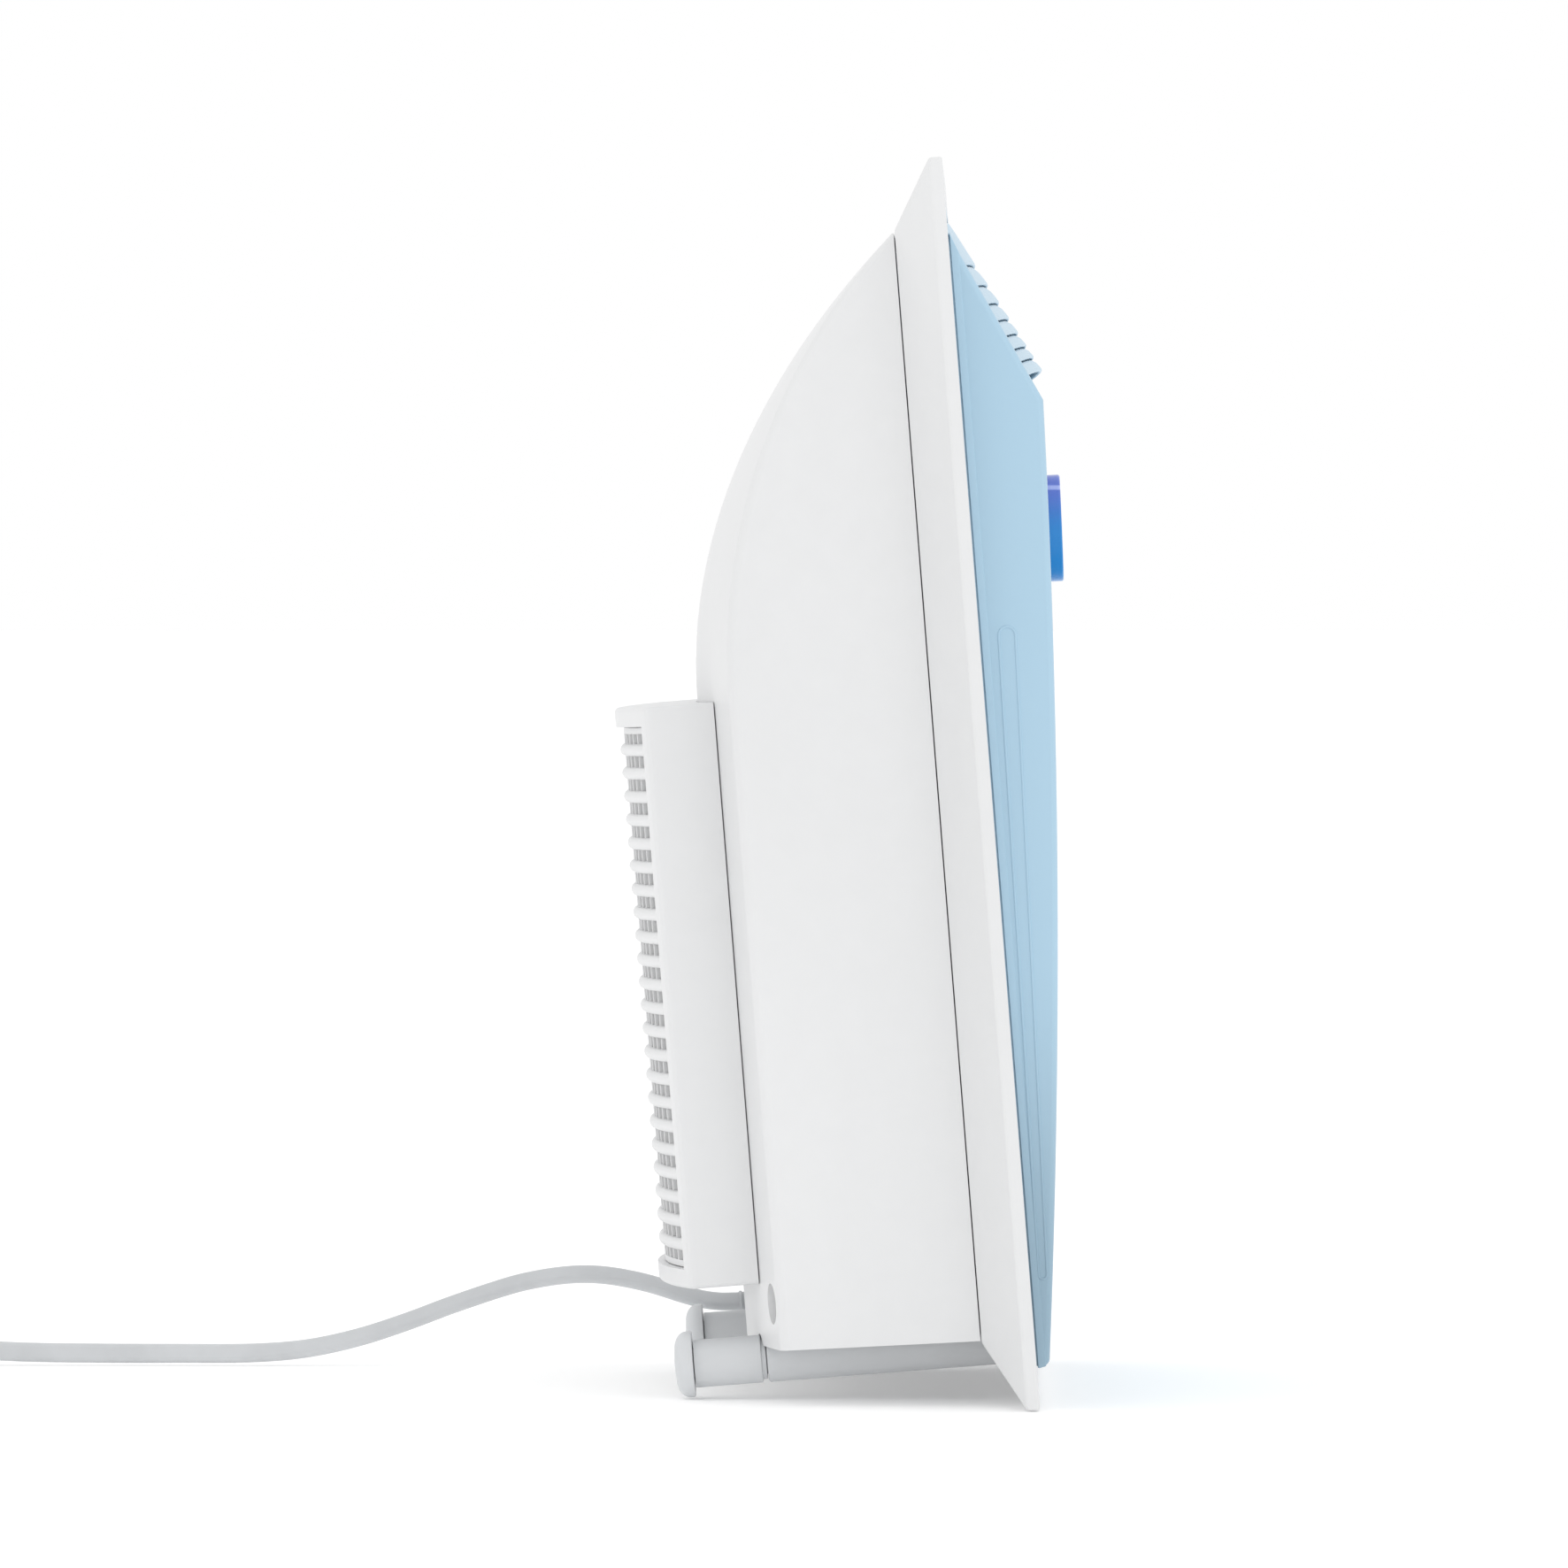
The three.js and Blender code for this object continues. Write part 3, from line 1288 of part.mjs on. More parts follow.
const [coilX, coilY] = COIL_CENTRE;
const coilInner = COIL_RADIUS - COIL_WIDTH / 2;
const coilOuter = COIL_RADIUS + COIL_WIDTH / 2;
const coilTop = COIL_LIFT + COIL_THICK;
const EDGE = 2.5; // the bundle's corners are rounded
add(
  "cord_coil",
  turned(
    [
      [coilInner, COIL_LIFT + EDGE],
      [coilInner + EDGE, COIL_LIFT],
      [coilOuter - EDGE, COIL_LIFT],
      [coilOuter, COIL_LIFT + EDGE],
      [coilOuter, coilTop - EDGE],
      [coilOuter - EDGE, coilTop],
      [coilInner + EDGE, coilTop],
      [coilInner, coilTop - EDGE],
      [coilInner, COIL_LIFT + EDGE],
    ],
    0,
    0,
    32,
  )
    .rotateX(Math.PI / 2)
    .translate(coilX, coilY, 0),
  "cord",
  cordSet,
);

// The tie is a band round the bundle of turns, on the coil's near side.
function cordTie() {
  const inside = Math.sqrt(coilInner ** 2 - TIE_WIDTH ** 2 / 4) * 0.99; // clear of the ring's curve
  const [a, b] = [inside - GAP, coilOuter + GAP];
  const [low, high] = [COIL_LIFT - GAP, coilTop + GAP];
  const outline = rectangle(a - TIE_THICK, b + TIE_THICK, low - TIE_THICK, high + TIE_THICK);
  const band = alongY(outline, -TIE_WIDTH / 2, TIE_WIDTH / 2, [rectangle(a, b, low, high)]);
  return band.rotateZ(-Math.PI * 0.75).translate(coilX, coilY, 0);
}
add("cord_tie", cordTie(), "dark", cordSet);

// The tail leaves the coil along -X and goes into the plug.
const tailStart = coilX - Math.sqrt(coilOuter ** 2 - COIL_RADIUS ** 2) - 3;
const tailY = coilY + COIL_RADIUS;
const plugTail = -22;
const TAIL_ROUTE = [
  [tailStart, tailY, 8],
  [tailStart - 10, tailY, 7.8],
  [tailStart - 22, tailY, 7.4],
  [plugTail, tailY, PLUG.thickness / 2 + 0.2],
];
add("cord_tail", tube(TAIL_ROUTE, CORD_DIAMETER / 2, 6), "cord", cordSet);

function plugBody() {
  const start = plugTail - GAP;
  const [neck, end] = [start - PLUG.length + PLUG.nose, start - PLUG.length];
  const ring = (x, width, thickness) => {
    const [w, t] = [width / 2, thickness / 2];
    const chamfer = Math.min(w, t) * 0.45;
    const z = PLUG.thickness / 2 + 0.2;
    return [
      [x, tailY - w + chamfer, z - t],
      [x, tailY + w - chamfer, z - t],
      [x, tailY + w, z - t + chamfer],
      [x, tailY + w, z + t - chamfer],
      [x, tailY + w - chamfer, z + t],
      [x, tailY - w + chamfer, z + t],
      [x, tailY - w, z + t - chamfer],
      [x, tailY - w, z - t + chamfer],
    ];
  };
  const body = loft([
    ring(start, CORD_DIAMETER + 2, CORD_DIAMETER + 1),
    ring(start - 8, 12, 10),
    ring(neck, PLUG.width - 5, PLUG.thickness),
    ring(end + 3, PLUG.width, PLUG.thickness),
    ring(end, PLUG.width - 3, PLUG.thickness - 2),
  ]);
  const sockets = SIDES.map(([, side]) => pin(side, GAP));
  return cut(body, ...sockets);
}

function pin(side, clearance) {
  const end = plugTail - GAP - PLUG.length;
  return rod(PIN_RADIUS + clearance, end - PIN_LENGTH, end + 6 + clearance, 0, 0, 12)
    .applyMatrix4(new THREE.Matrix4().makeRotationZ(-Math.PI / 2))
    .translate(0, tailY + (side * PIN_PITCH) / 2, PLUG.thickness / 2 + 0.2);
}
add("plug_body", plugBody(), "cord", cordSet);
SIDES.forEach(([name, side]) => {
  add("plug_pin_" + name, pin(side, 0), "metal", cordSet);
});

export default purifier;
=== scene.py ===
"""A table-standing ionising air purifier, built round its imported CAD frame."""

import math

import bmesh
import bpy
from bpy.props import (
    FloatProperty,
    FloatVectorProperty,
    IntProperty,
    PointerProperty,
)
from mathutils import Matrix, Vector


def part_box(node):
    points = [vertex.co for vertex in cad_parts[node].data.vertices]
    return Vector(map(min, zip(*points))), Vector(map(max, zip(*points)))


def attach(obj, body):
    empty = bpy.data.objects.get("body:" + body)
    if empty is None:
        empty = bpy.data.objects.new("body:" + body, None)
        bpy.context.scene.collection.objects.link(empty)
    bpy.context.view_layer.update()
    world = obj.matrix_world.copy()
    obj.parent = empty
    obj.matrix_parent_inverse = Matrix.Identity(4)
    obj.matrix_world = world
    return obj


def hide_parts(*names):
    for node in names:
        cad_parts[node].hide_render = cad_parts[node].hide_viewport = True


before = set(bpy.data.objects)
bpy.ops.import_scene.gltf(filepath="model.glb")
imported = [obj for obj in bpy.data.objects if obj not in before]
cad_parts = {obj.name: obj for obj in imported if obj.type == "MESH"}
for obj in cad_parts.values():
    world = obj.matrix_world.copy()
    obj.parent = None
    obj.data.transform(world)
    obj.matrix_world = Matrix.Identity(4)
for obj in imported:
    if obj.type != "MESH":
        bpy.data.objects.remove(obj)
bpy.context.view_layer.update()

bl_info = {
    "name": "Leaning Air Purifier",
    "version": (1, 0, 0),
    "blender": (4, 5, 0),
    "location": "3D View > Sidebar > Purifier",
    "description": "Builds a leaning air purifier with its cord, legs and filter",
    "category": "Object",
}

MM = 0.001
GAP = 0.3
WALL = 2.2
LEAN = math.radians(4.5)
SIDES = (("left", -1), ("right", 1))

# Front frame, in millimetres: x across, y from its front plane to the rear,
# z up from its lower edge.
FRAME_WIDTH, FRAME_HEIGHT = 220, 321
RIM_DEPTH, FLARE_DEPTH, FLARE_INSET, FLARE_SKIN = 3.3, 10.3, 17.3, 2
BORDER, SEAT = 10, 3.4

# Rear shell.
SHELL_FRONT = RIM_DEPTH + FLARE_DEPTH
SHELL_HALF = FRAME_WIDTH / 2 - FLARE_INSET - 0.7
SHELL_DEPTH, SHELL_CROWN, CROWN_FADE = 65, 10.6, 4.5
SHELL_BOTTOM, SHELL_STRAIGHT = 17.4, 187
SHELL_DRAFT = math.tan(math.radians(1.6))
SHELL_TOP = FRAME_HEIGHT - 17.4
SHELL_EDGE = 2.2
BACK_RUN, BACK_RISE = SHELL_DEPTH - SHELL_FRONT, SHELL_TOP - SHELL_STRAIGHT
BACK_RADIUS = (BACK_RUN**2 + BACK_RISE**2) / (2 * BACK_RUN)

# Front cover and its louver.
COVER_HALF = FRAME_WIDTH / 2 - BORDER - 0.6
COVER_BOTTOM, COVER_RIM = BORDER + 0.6, FRAME_HEIGHT - BORDER - 0.6
COVER_TOP = FRAME_HEIGHT - 19.2
COVER_SKIRT, COVER_LOW, COVER_HIGH, COVER_BULGE = 6, 3.3, 21, 2.9
SLANT_HEIGHT = 44.5
SLANT_FOOT = COVER_TOP - SLANT_HEIGHT
STRIP_DEPTH, STRIP_WIDER = 2.5, 0.5
LOUVER_HALF = COVER_HALF - 12
LOUVER_START, LOUVER_LENGTH = -4.2, 45.8
LOUVER_END = LOUVER_START + LOUVER_LENGTH
LOUVER_TOP_BAR, LOUVER_SLATS, LOUVER_FIRST_STEP, LOUVER_RATIO = 13.2, 7, 6.1, 0.9
LOUVER_THICK, LOUVER_STEP, LOUVER_RAIL = 2.4, 0.8, 4
LOUVER_PROUD_TOP, LOUVER_PROUD_END = 2.4, 4.6
END_SLOPE = COVER_HIGH / SLANT_HEIGHT

# Power button.
BUTTON_HEIGHT, BUTTON_RADIUS, BUTTON_PROUD = 224.7, 14.1, 3.7

# Filter cover and intake grille.
FILTER_HALF, FILTER_BOTTOM, FILTER_HEIGHT = 69, 35.5, 151
FILTER_REAR, FILTER_CROWN, FILTER_RAIL = 97.6, 9.8, 5
FILTER_RADIUS = (FILTER_HALF**2 + FILTER_CROWN**2) / (2 * FILTER_CROWN)
OPENING_HALF = FILTER_HALF - FILTER_RAIL
OPENING_LOW = FILTER_BOTTOM + FILTER_RAIL
OPENING_HIGH = FILTER_BOTTOM + FILTER_HEIGHT - FILTER_RAIL
SLAT_THICK, SLAT_DEPTH, SLAT_SET_BACK = 3.3, 3.4, 0.7
RIB_DEPTH, RIB_SET_BACK = 3.6, 2

# Legs, case screws and strain relief.
LEG_SPACING, LEG_RADIUS, SPIGOT_RADIUS = 120, 6.2, 4
SOCKET_REAR, LEG_GROOVE, SPIGOT_LENGTH = 69.5, 1.4, 38
HEAD_FRONT, HEAD_RADIUS, HEAD_DEPTH = 88.7, 8.6, 4.7
SCREW_X, SCREW_Z = SHELL_HALF - 8, 31
POCKET_RADIUS, POCKET_WALL, POCKET_FLOOR = 5.3, 1.6, 58
CORD_SIDE, CORD_HEIGHT = 74.5, 23.4
RELIEF_INNER, RELIEF_OUTER = 36, 79

# Mains cord, in the row's millimetres: from the strain relief over the table to the coil.
CORD_WIDE, CORD_THICK = 5.2, 3.4
CORD_ROUTE = (
    (74.5, 26.8, 17.2),
    (74.5, 30, 17.1),
    (74.5, 33.5, 17.1),
    (74.5, 38, 17.7),
    (74.5, 43, 19),
    (74.5, 52, 21.8),
    (74.6, 61, 23.7),
    (74.7, 69, 24.4),
    (74.8, 77, 23.9),
    (74.9, 86, 22.3),
    (75, 94, 20.0),
    (75, 106, 15.9),
    (74.9, 118, 11.4),
    (74.7, 131, 7.2),
    (74.5, 145, 4.2),
    (74.3, 160, 3),
    (74.3, 180, 2.9),
    (74.5, 200, 2.9),
    (74.5, 222, 3.2),
    (74.5, 245, 4.3),
)
COIL_X, COIL_Y, COIL_MIDDLE = 44.4, 272, 30.1
COIL_OUTER, COIL_INNER = 35.9, 24.8
COIL_LOW, COIL_HIGH = 4.1, 9.45
COIL_PITCH = 3.7
COIL_IN, COIL_UP = 3.0, 0.7  # turns that wind inwards, and the part of a turn that climbs
TIE_WIDTH, TIE_THICK = 9, 0.9
PLUG_TAIL, PLUG_LENGTH, PLUG_MIDDLE = -22, 37, 7.2
TAIL_Y = COIL_Y + COIL_MIDDLE
PIN_RADIUS, PIN_LENGTH, PIN_PITCH = 2, 19, 19


# ------------------------------------------------------------------ settings


class PurifierSizes(bpy.types.PropertyGroup):
    """Sizes of the edges, slats and cord."""

    rim_fillet: FloatProperty(
        name="Rim Fillet",
        description="Rounding of the front frame's edges",
        default=0.0006,
        min=0.0001,
        max=0.002,
        unit="LENGTH",
    )
    cover_fillet: FloatProperty(
        name="Cover Fillet",
        description="Rounding of the front cover's long edges",
        default=0.0016,
        min=0.0003,
        max=0.003,
        unit="LENGTH",
    )
    slats: IntProperty(
        name="Intake Slats",
        description="Slats across the rear intake",
        default=22,
        min=8,
        max=30,
    )
    ribs: IntProperty(
        name="Intake Ribs",
        description="Upright ribs behind the intake slats",
        default=15,
        min=3,
        max=25,
    )
    coil_turns: FloatProperty(
        name="Coil Turns",
        description="Turns of cord in the tied bundle",
        default=6.25,
        min=4.25,
        max=6.25,
    )


class PurifierColours(bpy.types.PropertyGroup):
    """Colours of the mouldings, the cord and the backdrop."""

    body: FloatVectorProperty(
        name="Housing",
        description="Near-white housing plastic",
        default=(0.755, 0.76, 0.765),
        size=3,
        min=0,
        max=1,
        subtype="COLOR",
    )
    legs: FloatVectorProperty(
        name="Legs",
        description="Light grey plastic of the legs",
        default=(0.66, 0.675, 0.69),
        size=3,
        min=0,
        max=1,
        subtype="COLOR",
    )
    cover: FloatVectorProperty(
        name="Front Cover",
        description="Pale blue plastic of the cover and louver",
        default=(0.40, 0.59, 0.73),
        size=3,
        min=0,
        max=1,
        subtype="COLOR",
    )
    cord: FloatVectorProperty(
        name="Cord",
        description="Light grey sheath of the mains cord",
        default=(0.60, 0.615, 0.63),
        size=3,
        min=0,
        max=1,
        subtype="COLOR",
    )
    backdrop: FloatVectorProperty(
        name="Backdrop",
        description="Pale floor and backdrop",
        default=(0.93, 0.93, 0.93),
        size=3,
        min=0,
        max=1,
        subtype="COLOR",
    )


# ------------------------------------------------------------------ solids, in millimetres


def made(points, faces):
    """An object of these points and faces, its faces turned outwards."""
    mesh = bpy.data.meshes.new("draft")
    mesh.from_pydata([tuple(p) for p in points], [], faces)
    work = bmesh.new()
    work.from_mesh(mesh)
    bmesh.ops.remove_doubles(work, verts=work.verts, dist=1e-4)
    bmesh.ops.recalc_face_normals(work, faces=work.faces)
    work.to_mesh(mesh)
    work.free()
    thing = bpy.data.objects.new("draft", mesh)
    bpy.context.scene.collection.objects.link(thing)
    return thing


def loft(rings, closed=False):
    """A skin through rings of points, capped at its ends unless it closes on itself."""
    count, size = len(rings), len(rings[0])
    faces = []
    for r in range(count if closed else count - 1):
        near, far = r * size, (r + 1) % count * size
        for i in range(size):
            j = (i + 1) % size
            faces.append((near + i, near + j, far + j, far + i))
    if not closed:
        faces.append(tuple(range(size)))
        faces.append(tuple(range((count - 1) * size, count * size)))
    return made([p for ring in rings for p in ring], faces)


def lathe(profile, x=0.0, z=0.0, sides=64, closed=False):
    """A profile of (radius, y) points turned about the line through (x, z) along Y."""
    rings = []
    for radius, y in profile:
        turns = [2 * math.pi * i / sides for i in range(sides)]
        rings.append([(x + radius * math.cos(t), y, z + radius * math.sin(t)) for t in turns])
    if closed:
        return loft(rings, closed=True)
    thing = loft(rings)
    if profile[0][0] == 0 and profile[-1][0] == 0:
        dissolve_empty(thing)
    return thing


def dissolve_empty(thing):
    """Takes away faces without area, which are left where a profile meets its axis."""
    work = bmesh.new()
    work.from_mesh(thing.data)
    bmesh.ops.dissolve_degenerate(work, dist=1e-5, edges=work.edges)
    bmesh.ops.recalc_face_normals(work, faces=work.faces)
    work.to_mesh(thing.data)
    work.free()


def block(x0, x1, y0, y1, z0, z1):
    corners = [(x0, y0), (x1, y0), (x1, y1), (x0, y1)]
    return loft([[(x, y, z) for x, y in corners] for z in (z0, z1)])


def across(outline, x0, x1):
    """An outline of (y, z) points, carried along X."""
    return loft([[(x, y, z) for y, z in outline] for x in (x0, x1)])


def upright(outline, z0, z1):
    """An outline of (x, y) points, carried along Z."""
    return loft([[(x, y, z) for x, y in outline] for z in (z0, z1)])


def rod(radius, y0, y1, x=0.0, z=0.0, sides=48):
    return lathe([(0, y0), (radius, y0), (radius, y1), (0, y1)], x, z, sides)


def picture_frame(half, low, high, profile):
    """A closed profile of (inset, y) points carried round a rectangle."""
    rings = []
    for inset, y in profile:
        left, right = -half + inset, half - inset
        bottom, top = low + inset, high - inset
        rings.append([(left, y, bottom), (right, y, bottom), (right, y, top), (left, y, top)])
    return loft(rings, closed=True)


def settled(thing):
    """Applies the modifiers."""
    shaped = thing.evaluated_get(bpy.context.evaluated_depsgraph_get())
    mesh = bpy.data.meshes.new_from_object(shaped)
    thing.modifiers.clear()
    thing.data = mesh
    return thing


def worked(thing, tools, operation):
    for tool in tools:
        step = thing.modifiers.new("cut", "BOOLEAN")
        step.object = tool
        step.operation = operation
        step.solver = "EXACT"
    settled(thing)
    for tool in tools:
        bpy.data.objects.remove(tool)
    return thing


def cut(thing, *tools):
    return worked(thing, tools, "DIFFERENCE")


def fused(thing, *others):
    return worked(thing, others, "UNION")


def rounded(thing, width, angle=35, segments=3):
    """Rounds the edges that turn by more than an angle, in degrees."""
    step = thing.modifiers.new("round", "BEVEL")
    step.width = width
    step.segments = segments
    step.limit_method = "ANGLE"
    step.angle_limit = math.radians(angle)
    step.use_clamp_overlap = True
    return settled(thing)


def leaned():
    """From the unit's own millimetres to the leaning unit on the table, in metres."""
    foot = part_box("front_frame")[0]
    turned = Matrix.Translation((0, foot.y, 0)) @ Matrix.Rotation(-LEAN, 4, "X")
    return turned @ Matrix.Scale(MM, 4)


def finished(name, things, body, material, replaces=(), matrix=None, smooth=32):
    """Joins drafts into one named piece, in place, with its finish and its body."""
    work = bmesh.new()
    for thing in things:
        thing.data.transform(matrix or leaned())
        work.from_mesh(thing.data)
        bpy.data.objects.remove(thing)
    mesh = bpy.data.meshes.new(name)
    work.to_mesh(mesh)
    work.free()
    mesh.shade_smooth()
    mesh.set_sharp_from_angle(angle=math.radians(smooth))
    mesh.materials.clear()
    mesh.materials.append(material)
    piece = bpy.data.objects.new(name, mesh)
    bpy.context.scene.collection.objects.link(piece)
    step = piece.modifiers.new("flat faces stay flat", "WEIGHTED_NORMAL")
    step.keep_sharp = True
    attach(piece, body)
    if replaces:
        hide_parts(*replaces)
    return piece


# ------------------------------------------------------------------ finishes


class Value:
    """A number socket that takes part in Python arithmetic."""

    def __init__(self, finish, socket):
        self.finish, self.socket = finish, socket

    def _maths(self, operation, a, b):
        node = self.finish.node("ShaderNodeMath", {0: a, 1: b}, operation=operation)
        return Value(self.finish, node.outputs[0])

    def __add__(self, other):
        return self._maths("ADD", self, other)

    __radd__ = __add__

    def __sub__(self, other):
        return self._maths("SUBTRACT", self, other)

    def __rsub__(self, other):
        return self._maths("SUBTRACT", other, self)

    def __mul__(self, other):
        return self._maths("MULTIPLY", self, other)

    __rmul__ = __mul__

    def __truediv__(self, other):
        return self._maths("DIVIDE", self, other)

    def __rtruediv__(self, other):
        return self._maths("DIVIDE", other, self)

    def __pow__(self, other):
        return self._maths("POWER", self, other)

    def least(self, other):
        return self._maths("MINIMUM", self, other)

    def most(self, other):
        return self._maths("MAXIMUM", self, other)

    def sine(self):
        return self._maths("SINE", self, 0.0)

    def between(self, low, high):
        """0 below low, 1 above high and smooth between them."""
        node = self.finish.node(
            "ShaderNodeMapRange",
            {"Value": self, "From Min": low, "From Max": high},
            interpolation_type="SMOOTHSTEP",
        )
        return Value(self.finish, node.outputs[0])


class Finish:
    """A procedural material whose patterns are laid out in the row's metres."""

    def __init__(self, name, **constants):
        self.material = bpy.data.materials.new(name)
        self.material.use_nodes = True
        self.tree = self.material.node_tree
        self.tree.nodes.clear()
        self.shader = self.node("ShaderNodeBsdfPrincipled")
        output = self.node("ShaderNodeOutputMaterial")
        self.tree.links.new(self.shader.outputs[0], output.inputs["Surface"])
        self.place = self.node("ShaderNodeTexCoord").outputs["Object"]
        self.feed(**constants)

    def node(self, kind, sockets=None, **settings):
        """A node of this kind, its settings first and then the values or links of its sockets."""
        new = self.tree.nodes.new(kind)
        for key, setting in settings.items():
            setattr(new, key, setting)
        for key, value in (sockets or {}).items():
            self.join(new.inputs[key], value)
        return new

    def join(self, socket, value):
        if isinstance(value, Value):
            value = value.socket
        if isinstance(value, bpy.types.NodeSocket):
            self.tree.links.new(value, socket)
        elif isinstance(value, (tuple, list)) and len(value) == 3 and socket.type == "RGBA":
            socket.default_value = (*value, 1)
        else:
            socket.default_value = value

    def feed(self, **sockets):
        """Sets or links the shader's own sockets: base_color feeds Base Color."""
        for key, value in sockets.items():
            name = key.replace("_", " ").title().replace("Ior", "IOR")
            self.join(self.shader.inputs[name], value)
        return self

    def axis(self, name):
        split = self.node("ShaderNodeSeparateXYZ", {0: self.place})
        return Value(self, split.outputs[name])

    def facing_up(self):
        normal = self.node("ShaderNodeNewGeometry").outputs["Normal"]
        return Value(self, self.node("ShaderNodeSeparateXYZ", {0: normal}).outputs["Z"])

    def stretched(self, factors):
        """The place, scaled along each axis."""
        scaled = self.node(
            "ShaderNodeVectorMath", {0: self.place, 1: factors}, operation="MULTIPLY"
        )
        return scaled.outputs[0]

    def noise(self, scale, detail=3.0, rough=0.55, place=None, warp=0.0):
        sockets = {
            "Vector": place or self.place,
            "Scale": scale,
            "Detail": detail,
            "Roughness": rough,
            "Distortion": warp,
        }
        return Value(self, self.node("ShaderNodeTexNoise", sockets).outputs[0])

    def cells(self, scale, feature="F1", place=None):
        sockets = {"Vector": place or self.place, "Scale": scale}
        node = self.node("ShaderNodeTexVoronoi", sockets, feature=feature)
        return Value(self, node.outputs["Distance"])

    def blend(self, share, a, b):
        """A colour from a at share 0 to b at share 1."""
        node = self.node("ShaderNodeMix", {0: share, 6: a, 7: b}, data_type="RGBA")
        return node.outputs[2]

    def relief(self, height, depth, strength=0.5):
        """Raises the surface by height times depth, in metres."""
        bump = self.node(
            "ShaderNodeBump", {"Height": height, "Distance": depth, "Strength": strength}
        )
        return self.feed(normal=bump.outputs[0])


def shaded(colour, share):
    """A colour made lighter or darker."""
    return tuple(min(1.0, c * share) for c in colour)


def moulded_plastic(name, colour, roughness=0.42, grain=0.00002, gloss=0.15, grain_scale=2600):
    """Spark-eroded moulding: a fine even grain, faint flow marks, and dust on upward faces."""
    f = Finish(name, ior=1.5, coat_weight=gloss, coat_roughness=0.3)
    flow = f.noise(9, 2, 0.5, f.stretched((1, 1, 0.35)), 0.4)
    mottle = f.noise(140, 4)
    fine = f.noise(grain_scale, 3, 0.6)
    dust = f.facing_up().between(0.55, 1.0) * f.noise(420, 4).between(0.42, 0.75)
    tone = (flow * 0.7 + mottle * 0.3).between(0.25, 0.75)
    plain = f.blend(tone, shaded(colour, 0.975), shaded(colour, 1.02))
    f.feed(
        base_color=f.blend(dust * 0.06, plain, shaded(colour, 0.86)),
        roughness=(mottle - 0.5) * 0.08 + roughness + dust * 0.1 + (fine - 0.5) * 0.06,
    )
    return f.relief(fine + mottle * 0.35, grain, 0.35).material


def cover_plastic(name, colour):
    """Pale blue satin plastic, a little darker towards the table, where shade is painted into its
    colour.
    """
    f = Finish(name, ior=1.5, coat_weight=0.22, coat_roughness=0.22)
    height = f.axis("Z")
    fine, mottle = f.noise(2800, 3, 0.6), f.noise(90, 4)
    flow = f.noise(7, 2, 0.5, f.stretched((1, 1, 0.3)), 0.5)
    # painted shade: the colour darkens from 0.12 m down to the table
    low, middle, high = shaded(colour, 0.70), colour, shaded(colour, 1.0)
    rise = f.blend(height.between(0.02, 0.12), low, middle)
    rise = f.blend(height.between(0.15, 0.30), rise, high)
    tone = (flow * 0.75 + mottle * 0.25).between(0.2, 0.8)
    f.feed(
        base_color=f.blend(tone * 0.10, rise, shaded(colour, 0.9)),
        roughness=(mottle - 0.5) * 0.07 + 0.38 + (fine - 0.5) * 0.06,
    )
    return f.relief(fine + flow * 0.4, 0.00002, 0.3).material


def lens_plastic(name, middle, low, high):
    """A clear lens over a lit disc: violet at its top and deep blue at its foot, with a painted
    highlight line near its top.
    """
    f = Finish(name, ior=1.40, coat_weight=0.1, coat_roughness=0.06, emission_strength=0.12)
    f.feed(specular_ior_level=0.3)
    share = ((f.axis("Z") - low) / (high - low)).least(1.0).most(0.0)
    swirl = f.noise(60, 2) * 0.04
    lower = f.blend((share + swirl).between(0.0, 0.5), (0.0, 0.20, 0.53), middle)
    glow = f.blend((share + swirl).between(0.45, 0.95), lower, (0.10, 0.16, 0.54))
    # painted highlight: a light line across the lens near its top, fed into its colour and its glow
    line = (share - 0.86).between(0.0, 0.02) * (1 - (share - 0.90).between(0.0, 0.02))
    lit = f.blend(line * 0.55, glow, (0.55, 0.62, 0.95))
    f.feed(
        base_color=lit,
        emission_color=lit,
        roughness=f.noise(700, 3) * 0.05 + 0.09,
    )
    return f.relief(f.noise(300, 2), 0.000004, 0.2).material


def cord_rubber(name, colour):
    """Matt extruded sheath, with faint changes of tone and scuffs."""
    f = Finish(name, ior=1.48, coat_weight=0.05)
    scuff = f.noise(260, 5, 0.65).between(0.48, 0.72)
    fine = f.noise(3200, 3)
    tone = f.noise(45, 3).between(0.3, 0.7)
    plain = f.blend(tone, shaded(colour, 0.95), shaded(colour, 1.03))
    f.feed(
        base_color=f.blend(scuff * 0.10, plain, shaded(colour, 1.18)),
        roughness=0.52 + scuff * 0.10 + (fine - 0.5) * 0.08,
    )
    return f.relief(fine + scuff * 0.3, 0.00003, 0.4).material


def woven_tie(name, colour):
    """Ribbed soft band."""
    f = Finish(name, roughness=0.8)
    ribs = (f.axis("Z") * 9000).sine() * (f.axis("X") * 9000).sine()
    fuzz = f.noise(4200, 4)
    f.feed(base_color=f.blend(ribs.between(-0.8, 0.9), shaded(colour, 0.72), colour))
    return f.relief(ribs * 0.7 + fuzz * 0.5, 0.00018, 0.6).material


def drawn_metal(name, colour, roughness=0.28, lines=(1, 1, 60), scratches=900):
    """Metal with fine drawing lines, and small pits where it has tarnished."""
    f = Finish(name, metallic=1.0)
    drawn = f.noise(scratches, 4, 0.7, f.stretched(lines))
    pits = f.cells(1400).between(0.05, 0.35)
    stain = f.noise(160, 4).between(0.5, 0.8)
    f.feed(
        base_color=f.blend(
            stain * 0.25, f.blend(drawn, shaded(colour, 0.85), colour), shaded(colour, 0.7)
        ),
        roughness=drawn * 0.2 + roughness - 0.08 + stain * 0.12,
    )
    return f.relief(drawn + pits * 0.3, 0.00002, 0.5).material


